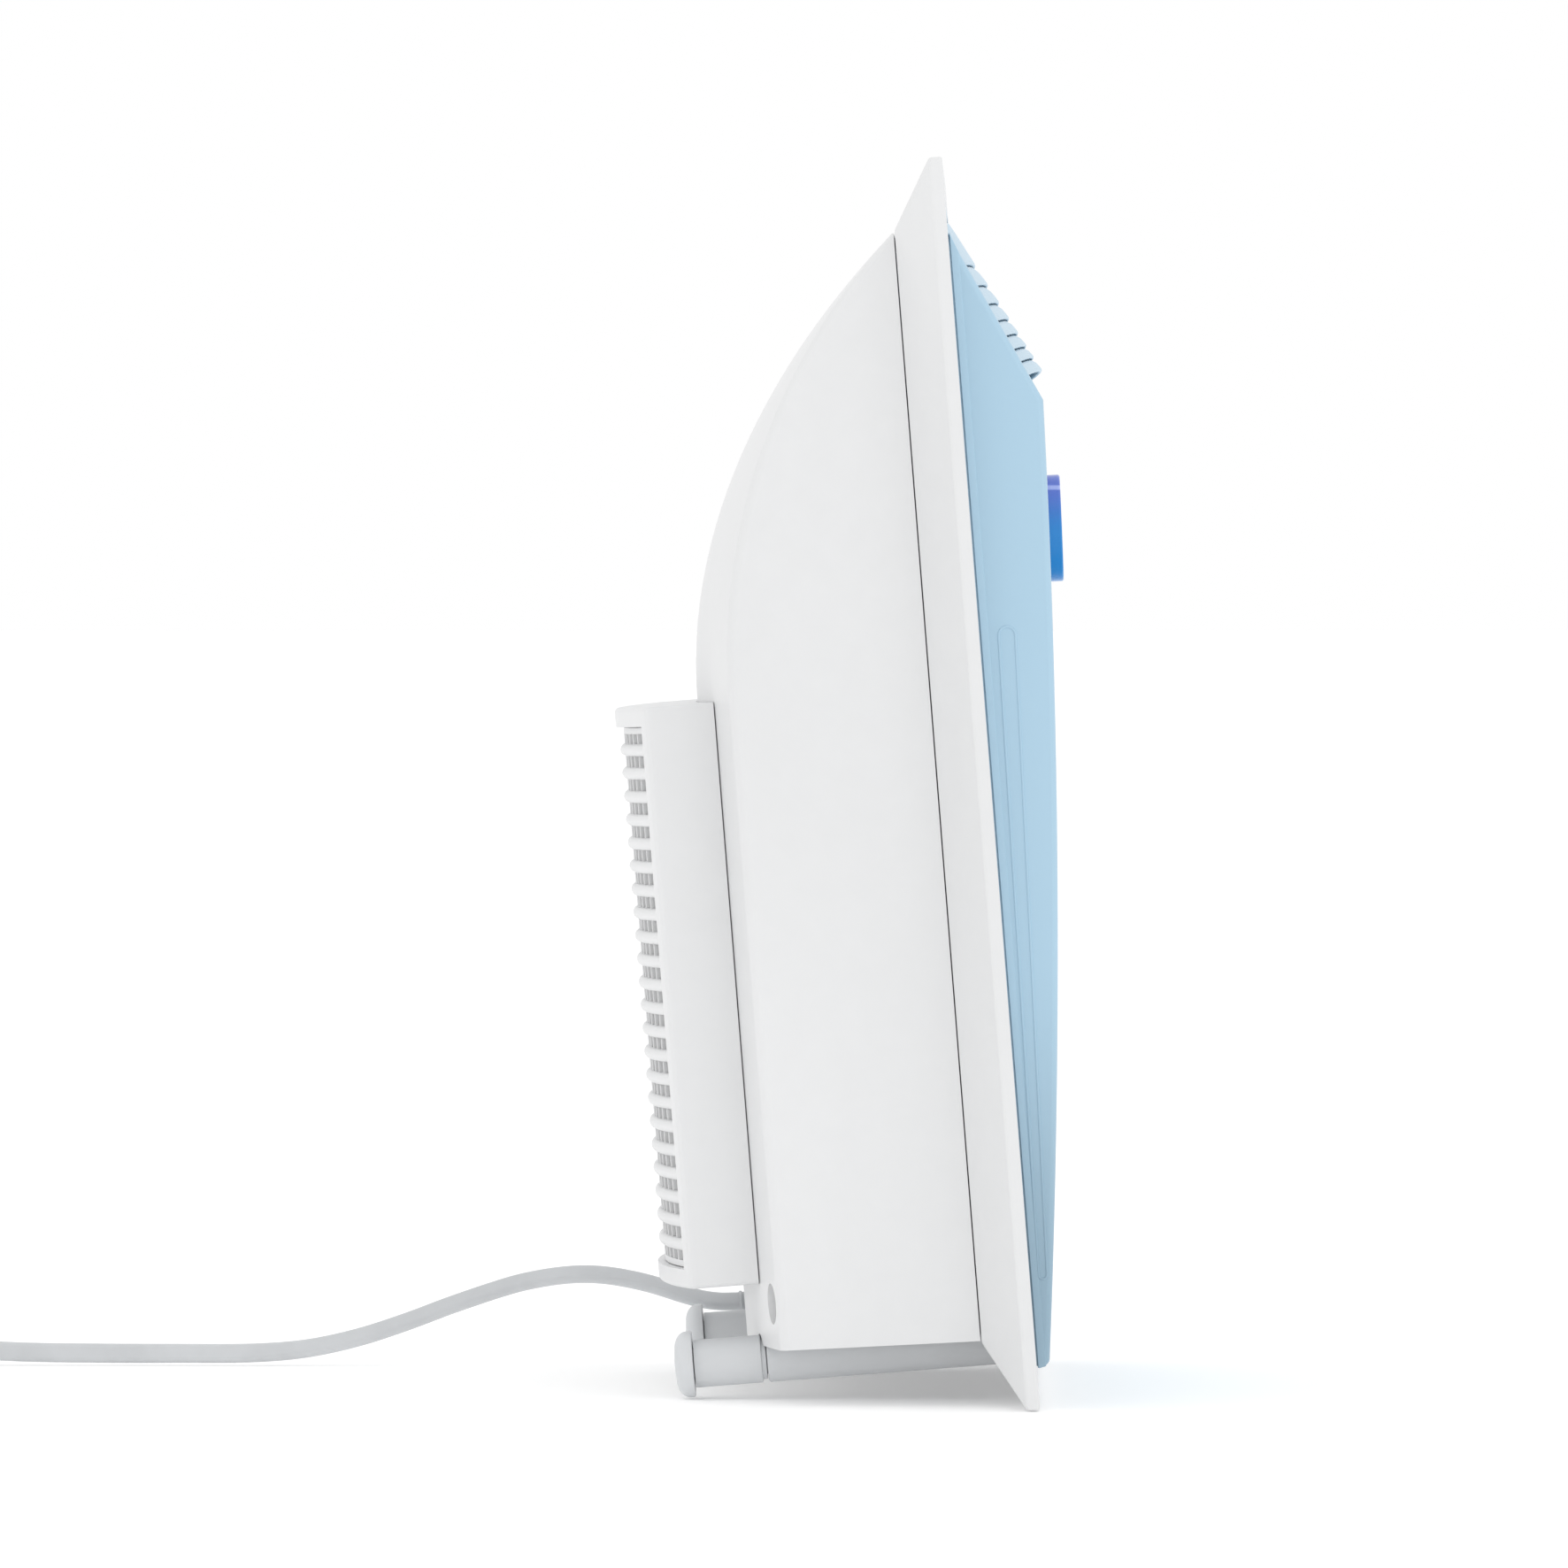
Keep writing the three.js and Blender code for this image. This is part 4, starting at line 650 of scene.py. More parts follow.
def pleated_fleece(name, colour):
    """Fibrous filter paper."""
    f = Finish(name, roughness=0.95, sheen_weight=0.25)
    fibres = f.noise(1800, 6, 0.75, f.stretched((1, 1, 0.25)), 1.5)
    clumps = f.noise(320, 4)
    tufts = (fibres * 0.6 + clumps * 0.4).between(0.3, 0.7)
    f.feed(base_color=f.blend(tufts, shaded(colour, 0.86), colour))
    return f.relief(fibres + clumps * 0.5, 0.00025, 0.7).material


def circuit_board(name, colour):
    """Green solder mask with copper runs and bare pads."""
    f = Finish(name, ior=1.5, coat_weight=0.4, coat_roughness=0.15)
    runs = f.cells(230, "DISTANCE_TO_EDGE", f.stretched((1, 1, 1))).between(0.05, 0.09)
    pads = 1 - f.cells(520).between(0.16, 0.2)
    mask = f.blend(runs, shaded(colour, 1.5), colour)
    f.feed(
        base_color=f.blend(pads * 0.8, mask, (0.62, 0.60, 0.52)),
        metallic=pads * 0.7,
        roughness=0.35 + f.noise(600) * 0.1,
    )
    return f.relief(1 - runs + pads, 0.00004, 0.6).material


def filled_nylon(name, colour):
    """Dark fibre-filled moulding with light swirls."""
    f = Finish(name, ior=1.5)
    swirl = f.noise(120, 5, 0.6, None, 2.0)
    fine = f.noise(2400, 4)
    f.feed(
        base_color=f.blend(swirl.between(0.4, 0.75), colour, shaded(colour, 1.9)),
        roughness=0.45 + swirl * 0.2,
    )
    return f.relief(fine + swirl * 0.5, 0.00004, 0.5).material


def laminated_core(name, colour):
    """Varnished steel laminations round a taped winding."""
    f = Finish(name, ior=1.5, coat_weight=0.3, coat_roughness=0.2)
    sheets = (f.axis("X") * 12000 + f.noise(200) * 0.6).sine().between(-0.2, 0.4)
    worn = f.noise(500, 5).between(0.45, 0.7)
    f.feed(
        base_color=f.blend(
            sheets, shaded(colour, 0.55), f.blend(worn, colour, shaded(colour, 1.5))
        ),
        metallic=worn * 0.5,
        roughness=0.4 + worn * 0.15,
    )
    return f.relief(sheets, 0.00008, 0.6).material


def potting_resin(name, colour):
    """Cast resin with a few bubbles."""
    f = Finish(name, ior=1.52, coat_weight=0.5, coat_roughness=0.1)
    bubbles = 1 - f.cells(420).between(0.08, 0.16)
    cloud = f.noise(60, 4, 0.6, None, 1.0)
    f.feed(
        base_color=f.blend(cloud, colour, shaded(colour, 1.6)),
        roughness=0.25 + cloud * 0.15 + bubbles * 0.2,
    )
    return f.relief(bubbles, 0.0001, 0.5).material


def pressed_card(name, colour):
    """Stiff fibreboard of the filter's frame."""
    f = Finish(name, roughness=0.85)
    grain = f.noise(700, 6, 0.7, f.stretched((0.3, 1, 1)))
    flecks = f.cells(900).between(0.0, 0.12)
    flecked = f.blend(flecks, shaded(colour, 0.8), colour)
    f.feed(base_color=f.blend(grain, shaded(colour, 0.88), flecked))
    return f.relief(grain, 0.00008, 0.5).material


def backdrop_paper(name, colour):
    """Matt studio paper."""
    f = Finish(name, roughness=0.9, specular_ior_level=0.1)
    f.feed(emission_color=(1, 1, 1), emission_strength=0.16)
    tooth = f.noise(900, 4)
    f.feed(base_color=f.blend(f.noise(3, 2), shaded(colour, 0.995), colour))
    return f.relief(tooth, 0.00002, 0.2).material


FINISHES = {}


def finish(name, maker=None, *values, **options):
    """The named finish, made the first time it is asked for."""
    if name not in FINISHES:
        FINISHES[name] = maker(name, *values, **options)
    return FINISHES[name]


def colours():
    return bpy.context.scene.purifier_colours


def white_plastic():
    return finish("white_housing_plastic", moulded_plastic, tuple(colours().body))


def leg_plastic():
    return finish(
        "grey_leg_plastic", moulded_plastic, tuple(colours().legs), roughness=0.5, gloss=0.05
    )


def blue_plastic():
    return finish("pale_blue_cover_plastic", cover_plastic, tuple(colours().cover))


def sheath_rubber():
    return finish("grey_cord_sheath", cord_rubber, tuple(colours().cord))


def zinc_steel():
    return finish("zinc_screw_steel", drawn_metal, (0.62, 0.63, 0.65), 0.35, (1, 1, 1))


# ------------------------------------------------------------------ shell surfaces


def side_rear(z, inset):
    """Rear edge of the shell's side at a height, for a skin inset inside the outer one."""
    up = max(0.0, z - SHELL_STRAIGHT)
    return SHELL_DEPTH - BACK_RADIUS + math.sqrt((BACK_RADIUS - inset) ** 2 - up**2)


def crown_at(x, z, half):
    """Rise of the back over its side edge."""
    turn = math.asin(min(1.0, max(0.0, z - SHELL_STRAIGHT) / BACK_RADIUS))
    return SHELL_CROWN * math.cos(turn) ** CROWN_FADE * (1 - (x / half) ** 2)


def shell_ring(z, inset, front, bottom=None):
    half = SHELL_HALF - inset
    rear = side_rear(z, inset)
    edge = max(0.15, min(SHELL_EDGE, (rear - front) / 2))
    corner = [math.radians(a) for a in range(0, 90, 15)]
    right = [(half - edge + edge * math.cos(a), rear - edge + edge * math.sin(a)) for a in corner]
    steps = 36
    reach = half - edge
    back = [(reach * (1 - 2 * i / steps), rear) for i in range(steps + 1)]
    left = [(-x, y) for x, y in reversed(right)]
    ring = [(-half, front), (half, front)]
    ring += [(x, y + crown_at(x, z, half)) for x, y in right + back + left]
    if bottom is None:
        return [(x, y, z) for x, y in ring]
    return [(x, y, bottom + y * SHELL_DRAFT) for x, y in ring]


def shell_solid(inset, front, bottom, drafted=True):
    radius = BACK_RADIUS - inset
    run = front + 0.4 - SHELL_DEPTH + BACK_RADIUS
    full_turn = math.acos(run / radius)
    heights = [bottom + 10, 60, 110, 150, SHELL_STRAIGHT]
    curve_steps = 26
    for i in range(1, curve_steps + 1):
        heights.append(SHELL_STRAIGHT + radius * math.sin(full_turn * i / curve_steps))
    foot = shell_ring(bottom, inset, front, bottom if drafted else None)
    return loft([foot] + [shell_ring(z, inset, front) for z in heights])


def filter_rear_at(x):
    """Crowned rear of the filter cover."""
    return FILTER_REAR - FILTER_RADIUS + math.sqrt(FILTER_RADIUS**2 - x**2)


# ------------------------------------------------------------------ cover surfaces


def cover_depth(z):
    share = (z - COVER_BOTTOM) / (SLANT_FOOT - COVER_BOTTOM)
    bulge = COVER_BULGE * 4 * share * (1 - share)
    return COVER_LOW + (COVER_HIGH - COVER_LOW) * share + bulge


def cover_outline(inset, back):
    """Side outline of the cover as (y, z), inset on its front, slanted and end faces."""
    steps = 36
    slant = math.hypot(COVER_HIGH, SLANT_HEIGHT)
    along = inset * (slant - COVER_HIGH) / SLANT_HEIGHT
    low = COVER_BOTTOM + inset
    outline = [(back, low)]
    for i in range(steps + 1):
        z = low + (SLANT_FOOT - along - low) * i / steps
        outline.append((-(cover_depth(z) - inset), z))
    slant_top = COVER_TOP - inset * (slant - SLANT_HEIGHT) / COVER_HIGH
    return outline + [(inset, slant_top), (inset, COVER_RIM - inset), (back, COVER_RIM - inset)]


SLANT_ANGLE = math.atan2(SLANT_HEIGHT, COVER_HIGH)


def on_slant(s, out):
    """A place in the louver's plane: s runs down it and out stands off it; as (y, z)."""
    down, off = math.sin(SLANT_ANGLE), math.cos(SLANT_ANGLE)
    return -(s * off + out * down), COVER_TOP - s * down + out * off


def louver_proud(x, s):
    """Height of the louver's skin over the cheeks beside it."""
    share = (s - LOUVER_START) / LOUVER_LENGTH
    middle = LOUVER_PROUD_TOP + (LOUVER_PROUD_END - LOUVER_PROUD_TOP) * share
    return middle * (1 - (x / LOUVER_HALF) ** 2)


def louver_bar(section, x0=-LOUVER_HALF, x1=LOUVER_HALF, steps=32):
    """A bar across the louver, whose section is (s, depth under the skin) points."""
    rings = []
    for i in range(steps + 1):
        x = x0 + (x1 - x0) * i / steps
        rings.append([(x, *on_slant(s, louver_proud(x, s) - under)) for s, under in section])
    return loft(rings)


BUTTON_SLOPE = math.atan((cover_depth(BUTTON_HEIGHT + 1) - cover_depth(BUTTON_HEIGHT - 1)) / 2)


def on_button(thing):
    """Moves a solid from the button's own axes to the cover's face."""
    face = Matrix.Translation((0, -cover_depth(BUTTON_HEIGHT), BUTTON_HEIGHT))
    thing.data.transform(face @ Matrix.Rotation(BUTTON_SLOPE, 4, "X"))
    return thing


# ------------------------------------------------------------------ pieces


def build_front_frame(fillet):
    seat_end = FLARE_INSET + SEAT
    ring = picture_frame(
        FRAME_WIDTH / 2,
        0,
        FRAME_HEIGHT,
        [
            (0, 0),
            (0, RIM_DEPTH),
            (FLARE_INSET, SHELL_FRONT),
            (seat_end, SHELL_FRONT),
            (seat_end, SHELL_FRONT - FLARE_SKIN),
            (FLARE_INSET + 0.6, SHELL_FRONT - FLARE_SKIN),
            (FLARE_SKIN * 2, RIM_DEPTH),
            (FLARE_SKIN * 2, FLARE_SKIN),
            (BORDER, FLARE_SKIN),
            (BORDER, 0),
        ],
    )
    for vertex in ring.data.vertices:
        if vertex.co.z < 0.01:
            vertex.co.z = vertex.co.y * math.tan(LEAN)
    rounded(ring, fillet, 25, 3)
    posts = [
        rod(4, SHELL_FRONT - 1, POCKET_FLOOR - 2.5, side * SCREW_X, SCREW_Z)
        for _, side in SIDES
    ]
    finished(
        "front_frame_shell", [ring, *posts], "housing", white_plastic(), ["front_frame"]
    )


def build_rear_shell():
    front = SHELL_FRONT + GAP
    outer = rounded(shell_solid(0, front, SHELL_BOTTOM), 0.8, 50, 3)
    inner = shell_solid(WALL, front - 5, SHELL_BOTTOM + WALL)
    opening = block(-OPENING_HALF, OPENING_HALF, 50, 120, OPENING_LOW, OPENING_HIGH)
    tools = [inner, opening, rod(3 + GAP, RELIEF_INNER, 120, CORD_SIDE, CORD_HEIGHT)]
    pockets = []
    for _, side in SIDES:
        tools.append(rod(POCKET_RADIUS, POCKET_FLOOR, 120, side * SCREW_X, SCREW_Z))
        tools.append(rod(LEG_RADIUS + GAP, 0, 120, side * LEG_SPACING / 2, leg_height()))
        outside = POCKET_RADIUS + POCKET_WALL
        tube = [
            (1.6, POCKET_FLOOR - WALL),
            (outside, POCKET_FLOOR - WALL),
            (outside, SHELL_DEPTH),
            (POCKET_RADIUS, SHELL_DEPTH),
            (POCKET_RADIUS, POCKET_FLOOR),
            (1.6, POCKET_FLOOR),
        ]
        pockets.append(lathe(tube, side * SCREW_X, SCREW_Z, 48, closed=True))
    shell = cut(outer, *tools)
    finished(
        "rear_shell_skin", [shell, *pockets], "housing", white_plastic(), ["rear_shell"]
    )


def oval_ridge(side):
    """A long plain oval ridge on the cover's side face."""
    low, high = Vector((-3.4, 34)), Vector((-7.05, 198))
    line = (high - low).normalized()
    across_line = Vector((-line.y, line.x))
    radii = (1.1, 2.15)
    centre = []
    for i in range(25):
        turn = math.radians(-90 + 180 * i / 24)
        centre.append(
            high + across_line * radii[1] * math.sin(turn) + line * radii[1] * math.cos(turn)
        )
    for i in range(25):
        turn = math.radians(90 + 180 * i / 24)
        centre.append(
            low + across_line * radii[0] * math.sin(turn) + line * radii[0] * math.cos(turn)
        )
    rings = []
    count = len(centre)
    for i, at in enumerate(centre):
        ahead = (centre[(i + 1) % count] - centre[i - 1]).normalized()
        out = Vector((-ahead.y, ahead.x))
        ring = []
        for k in range(10):
            a = 2 * math.pi * k / 10
            spot = at + out * 0.32 * math.cos(a)
            ring.append((side * (COVER_HALF + 0.26 * math.sin(a)), spot.x, spot.y))
        rings.append(ring)
    return loft(rings, closed=True)


def build_front_cover(fillet):
    body = across(cover_outline(0, COVER_SKIRT), -COVER_HALF, COVER_HALF)
    rounded(body, fillet, 60, 4)
    strip_foot = (COVER_HALF + STRIP_WIDER, COVER_BOTTOM - STRIP_WIDER, COVER_TOP + STRIP_WIDER / 2)
    strip_top = COVER_TOP - STRIP_DEPTH * SLANT_HEIGHT / COVER_HIGH - 0.2
    strip_head = (COVER_HALF + 0.1, COVER_BOTTOM - 0.1, strip_top)
    rings = []
    for (half, low, high), y in ((strip_foot, -GAP), (strip_head, -STRIP_DEPTH)):
        rings.append([(-half, y, low), (half, y, low), (half, y, high), (-half, y, high)])
    strip = rounded(loft(rings), 0.35, 25, 3)
    fused(body, strip)
    head = on_slant(LOUVER_START, LOUVER_PROUD_TOP)[1] + GAP
    hole = across(
        [
            on_slant(LOUVER_START - GAP, 12),
            on_slant(LOUVER_END + GAP + 12 * END_SLOPE, 12),
            on_slant(LOUVER_END + GAP - 12 * END_SLOPE, -12),
            (COVER_SKIRT + 4, COVER_TOP - 12),
            (COVER_SKIRT + 4, head),
            (0, head),
        ],
        -LOUVER_HALF - GAP,
        LOUVER_HALF + GAP,
    )
    hollow = across(cover_outline(WALL, COVER_SKIRT + 10), -COVER_HALF + WALL, COVER_HALF - WALL)
    button_hole = on_button(rod(BUTTON_RADIUS + GAP, -10, WALL + 6, sides=72))
    cut(body, hollow, hole, button_hole)
    ridges = [oval_ridge(side) for _, side in SIDES]
    finished(
        "front_cover_skin", [body, *ridges], "housing", blue_plastic(), ["front_cover"]
    )


def shingle(start, foot, last):
    """Section of one louver slat: low at its head, full and rounded at its foot."""
    run = foot - start
    skin = [
        (start + 0.4, LOUVER_STEP + 0.15),
        (start + run * 0.35, 0.32),
        (start + run * 0.7, 0.06),
    ]
    nose = []
    for i in range(6):
        turn = math.radians(90 - 180 * i / 5)
        nose.append((foot - 0.6 + 0.6 * math.cos(turn), 0.6 - 0.6 * math.sin(turn)))
    end = [(foot - 1.6 if last else foot - 1.2, 1.5), (start + 0.4, LOUVER_STEP + 1.3)]
    return skin + nose + end


def build_louver():
    bars = []
    top_end = LOUVER_START + LOUVER_TOP_BAR
    head = [(LOUVER_START + 0.25, 0.6), (LOUVER_START + 0.7, 0.1), (LOUVER_START + 3, 0)]
    nose = []
    for i in range(6):
        turn = math.radians(90 - 180 * i / 5)
        nose.append((top_end - 0.7 + 0.7 * math.cos(turn), 0.7 - 0.7 * math.sin(turn)))
    under = [(top_end - 2, LOUVER_THICK), (LOUVER_START + 1.2, LOUVER_THICK)]
    bars.append(louver_bar(head + nose + under))
    s = top_end
    for k in range(LOUVER_SLATS):
        step = LOUVER_FIRST_STEP * LOUVER_RATIO**k
        last = k == LOUVER_SLATS - 1
        bars.append(louver_bar(shingle(s, LOUVER_END if last else s + step, last)))
        s += step
    rail = [
        (LOUVER_START + 0.3, 0.35),
        (LOUVER_END - 0.4, 0.35),
        (LOUVER_END - 5 * END_SLOPE, 5),
        (LOUVER_START + 4, 5),
    ]
    for _, side in SIDES:
        inner, outer = side * (LOUVER_HALF - LOUVER_RAIL), side * LOUVER_HALF
        bars.append(louver_bar(rail, min(inner, outer), max(inner, outer), 4))
    ribs = 11
    web = [
        (LOUVER_START + 6, 1.2),
        (LOUVER_END - 1.2 * END_SLOPE - 0.6, 1.2),
        (LOUVER_END - 5 * END_SLOPE - 0.3, 5),
        (LOUVER_START + 6, 5),
    ]
    for k in range(ribs):
        x = ((k + 1) / (ribs + 1) - 0.5) * 2 * LOUVER_HALF
        bars.append(louver_bar(web, x - 0.6, x + 0.6, 1))
    finished("outlet_louver_slats", bars, "housing", blue_plastic(), ["outlet_louver"])


def build_power_button():
    flange_front = WALL + 2 * GAP
    flange_rear = flange_front + 2
    fillet = 0.6
    edge = [(0, -BUTTON_PROUD)]
    edge += [(BUTTON_RADIUS * share, -BUTTON_PROUD) for share in (0.3, 0.6, 0.85)]
    for i in range(7):
        turn = math.radians(90 * i / 6)
        edge.append(
            (
                BUTTON_RADIUS - fillet + fillet * math.sin(turn),
                -BUTTON_PROUD + fillet - fillet * math.cos(turn),
            )
        )
    edge += [
        (BUTTON_RADIUS, flange_front),
        (BUTTON_RADIUS + 1.8, flange_front),
        (BUTTON_RADIUS + 1.8, flange_rear),
        (BUTTON_RADIUS - 2, flange_rear),
        (BUTTON_RADIUS - 2, flange_rear - 1.6),
        (2.6, flange_rear - 1.6),
        (2.6, flange_rear - GAP),
        (0, flange_rear - GAP),
    ]
    low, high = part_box("power_button")
    lens = finish("lit_blue_lens", lens_plastic, (0.03, 0.23, 0.57), low.z + 0.002, high.z - 0.002)
    button = on_button(lathe(edge, sides=96))
    finished("power_lens", [button], "button", lens, ["power_button"])


def build_filter_cover():
    xs = [FILTER_HALF * (1 - i / 24) for i in range(49)]
    outline = [(x, filter_rear_at(x)) for x in xs]
    outline += [(x, SHELL_DEPTH - 12) for x in (-FILTER_HALF, FILTER_HALF)]
    body = upright(outline, FILTER_BOTTOM, FILTER_BOTTOM + FILTER_HEIGHT)
    rounded(body, 1.2, 45, 4)
    seat = OPENING_HALF - GAP - 1.5
    low, high = OPENING_LOW + GAP + 1.5, OPENING_HIGH - GAP - 1.5
    grille_seat = grille_front()
    cut(
        body,
        shell_solid(-GAP, SHELL_FRONT, FILTER_BOTTOM - 20, drafted=False),
        block(-seat, seat, 0, 200, low, high),
        block(-OPENING_HALF, OPENING_HALF, grille_seat, 200, OPENING_LOW, OPENING_HIGH),
    )
    skirt = block(
        -OPENING_HALF + GAP,
        OPENING_HALF - GAP,
        SHELL_DEPTH - 5,
        SHELL_DEPTH + SHELL_CROWN + 1.5,
        OPENING_LOW + GAP,
        OPENING_HIGH - GAP,
    )
    cut(skirt, block(-seat, seat, 0, 200, low, high))
    finished(
        "filter_cover_box", [body, skirt], "filter", white_plastic(), ["filter_cover"]
    )


def grille_front():
    return filter_rear_at(OPENING_HALF) - RIB_SET_BACK - RIB_DEPTH - 0.8


def slat_section(depth, thick):
    """Rounded section as (depth under the rear, height) points."""
    points = []
    half = thick / 2
    for i in range(9):
        turn = math.radians(90 - 180 * i / 8)
        points.append((half - half * math.cos(turn), half * math.sin(turn)))
    for i in range(5):
        turn = math.radians(-90 - 180 * i / 4)
        points.append((depth - 0.5 - 0.5 * math.cos(turn), (half - 0.15) * math.sin(turn)))
    return points


def build_intake_grille(slats, ribs):
    reach = OPENING_HALF - GAP
    low, high = OPENING_LOW + GAP, OPENING_HIGH - GAP
    pitch = (OPENING_HIGH - OPENING_LOW) / (slats + 1)
    steps = 32
    things = []
    section = slat_section(SLAT_DEPTH, SLAT_THICK)
    for k in range(1, slats + 1):
        z = OPENING_LOW + k * pitch
        rings = []
        for i in range(steps + 1):
            x = -reach + 2 * reach * i / steps
            rear = filter_rear_at(x) - SLAT_SET_BACK
            rings.append([(x, rear - under, z + up) for under, up in section])
        things.append(loft(rings))
    for k in range(ribs):
        x = ((k + 1) / (ribs + 1) - 0.5) * 2 * reach
        rear = filter_rear_at(x) - RIB_SET_BACK
        rib = block(x - 0.7, x + 0.7, rear - RIB_DEPTH, rear, low + 0.5, high - 0.5)
        things.append(rounded(rib, 0.4, 40, 2))
    front = grille_front() + GAP
    xs = [reach * (1 - i / 16) for i in range(33)]
    band = [(x, filter_rear_at(x) - RIB_SET_BACK) for x in xs] + [(-reach, front), (reach, front)]
    for z in (low, high - 1.6):
        things.append(upright(band, z, z + 1.6))
    for _, side in SIDES:
        inner, outer = side * (reach - 1.6), side * reach
        rear = filter_rear_at(reach) - 1
        things.append(block(min(inner, outer), max(inner, outer), front, rear, low, high))
    finished(
        "intake_grille_slats", things, "filter", white_plastic(), ["intake_grille"]
    )


def head_profile():
    """Outline of a leg's mushroom head, from its flat front to its domed rear."""
    front = [(HEAD_RADIUS - 0.4, HEAD_FRONT), (HEAD_RADIUS - 0.1, HEAD_FRONT + 0.12)]
    dome = [(HEAD_RADIUS, HEAD_FRONT + 0.4), (HEAD_RADIUS, HEAD_FRONT + 1.4)]
    for i in range(1, 9):
        turn = math.radians(90 * i / 8)
        radius = 4.2 + (HEAD_RADIUS - 4.2) * math.cos(turn)
        dome.append((radius, HEAD_FRONT + 1.4 + (HEAD_DEPTH - 1.4) * math.sin(turn)))
    return front + dome


def leg_height():
    """Height of the legs' line, so that the leaning heads touch the table."""
    cad_profile = [
        (HEAD_RADIUS, HEAD_FRONT + 0.4),
        (HEAD_RADIUS, HEAD_FRONT + 1.6),
        (HEAD_RADIUS - 0.9, HEAD_FRONT + 3.4),
    ]
    return max(radius + y * math.tan(LEAN) for radius, y in cad_profile)


def build_legs():
    z = leg_height()
    rod_front = SOCKET_REAR + LEG_GROOVE
    spigot_front = SOCKET_REAR - SPIGOT_LENGTH
    for name, side in SIDES:
        x = side * LEG_SPACING / 2
        bore = SPIGOT_RADIUS + GAP
        socket = [
            (bore, spigot_front - 2),
            (bore, SOCKET_REAR - 0.3),
            (bore + 0.3, SOCKET_REAR),
            (LEG_RADIUS - 0.5, SOCKET_REAR),
            (LEG_RADIUS - 0.15, SOCKET_REAR - 0.15),
            (LEG_RADIUS, SOCKET_REAR - 0.5),
            (LEG_RADIUS, 5.4),
            (0.5, 5.4),
            (0.5, spigot_front - 2),
        ]
        finished(
            "leg_sleeve_" + name,
            [lathe(socket, x, z, 64, closed=True)],
            "housing",
            leg_plastic(),
            ["leg_socket_" + name],
        )
        neck = LEG_RADIUS - 0.9
        shaft = [
            (0, spigot_front),
            (SPIGOT_RADIUS - 0.4, spigot_front),
            (SPIGOT_RADIUS, spigot_front + 0.4),
            (SPIGOT_RADIUS, SOCKET_REAR + GAP),
            (neck, SOCKET_REAR + GAP),
            (neck, rod_front),
            (LEG_RADIUS - 0.5, rod_front),
            (LEG_RADIUS - 0.15, rod_front + 0.15),
            (LEG_RADIUS, rod_front + 0.5),
            (LEG_RADIUS, HEAD_FRONT - GAP),
            (SPIGOT_RADIUS, HEAD_FRONT - GAP),
            (SPIGOT_RADIUS, HEAD_FRONT + 3),
            (0, HEAD_FRONT + 3),
        ]
        finished(
            "leg_shaft_" + name,
            [lathe(shaft, x, z, 64)],
            "leg_" + name,
            leg_plastic(),
            ["leg_rod_" + name],
        )
        head = [
            (0, HEAD_FRONT + 3 + GAP),
            (SPIGOT_RADIUS + GAP, HEAD_FRONT + 3 + GAP),
            (SPIGOT_RADIUS + GAP, HEAD_FRONT),
            *head_profile(),
            (0, HEAD_FRONT + HEAD_DEPTH + 0.3),
        ]
        finished(
            "leg_foot_" + name,
            [lathe(head, x, z, 72)],
            "leg_" + name,
            finish("grey_foot_rubber", cord_rubber, tuple(colours().legs)),
            ["leg_pad_" + name],
        )


def build_case_screws():
    for name, side in SIDES:
        seat = POCKET_FLOOR + GAP
        head = [(0, seat - 22), (1.3, seat - 21), (1.3, seat), (3.5, seat), (3.6, seat + 0.3)]
        for i in range(7):
            turn = math.radians(90 * i / 6)
            head.append((3.6 * math.cos(turn) * 0.98 + 0.03, seat + 0.5 + 1.45 * math.sin(turn)))
        head.append((0, seat + 1.97))
        x = side * SCREW_X
        screw = lathe(head, x, SCREW_Z, 48)
        recess = [
            block(x - 1.9, x + 1.9, seat + 0.9, seat + 4, SCREW_Z - 0.38, SCREW_Z + 0.38),
            block(x - 0.38, x + 0.38, seat + 0.9, seat + 4, SCREW_Z - 1.9, SCREW_Z + 1.9),
        ]
        cut(screw, *recess)
        finished(
            "case_screw_head_" + name,
            [screw],
            "housing",
            zinc_steel(),
            ["case_screw_" + name],
        )


def build_strain_relief():
    collar = SHELL_DEPTH + crown_at(CORD_SIDE - 4.2, CORD_HEIGHT, SHELL_HALF) + GAP
    profile = [(0, RELIEF_INNER), (3, RELIEF_INNER), (3, collar), (4, collar), (4.2, collar + 0.25)]
    profile += [(4.2, collar + 1.4), (3.9, collar + 1.7), (3.5, collar + 2)]
    start, end = collar + 2.2, RELIEF_OUTER
    ribs = 5
    for k in range(ribs):
        share = k / ribs
        radius = 3.5 - 0.7 * share
        y, pitch = start + (end - start) * share, (end - start) / ribs
        profile += [
            (radius - 0.45, y),
            (radius - 0.45, y + pitch * 0.35),
            (radius - 0.1, y + pitch * 0.42),
            (radius - 0.1, y + pitch * 0.95),
        ]
    profile += [(2.75, end - 0.2), (2.6, end), (0, end)]
    relief = lathe(profile, CORD_SIDE, CORD_HEIGHT, 40)
    finished(
        "cord_relief", [relief], "housing", sheath_rubber(), ["strain_relief"]
    )


# ------------------------------------------------------------------ mains cord


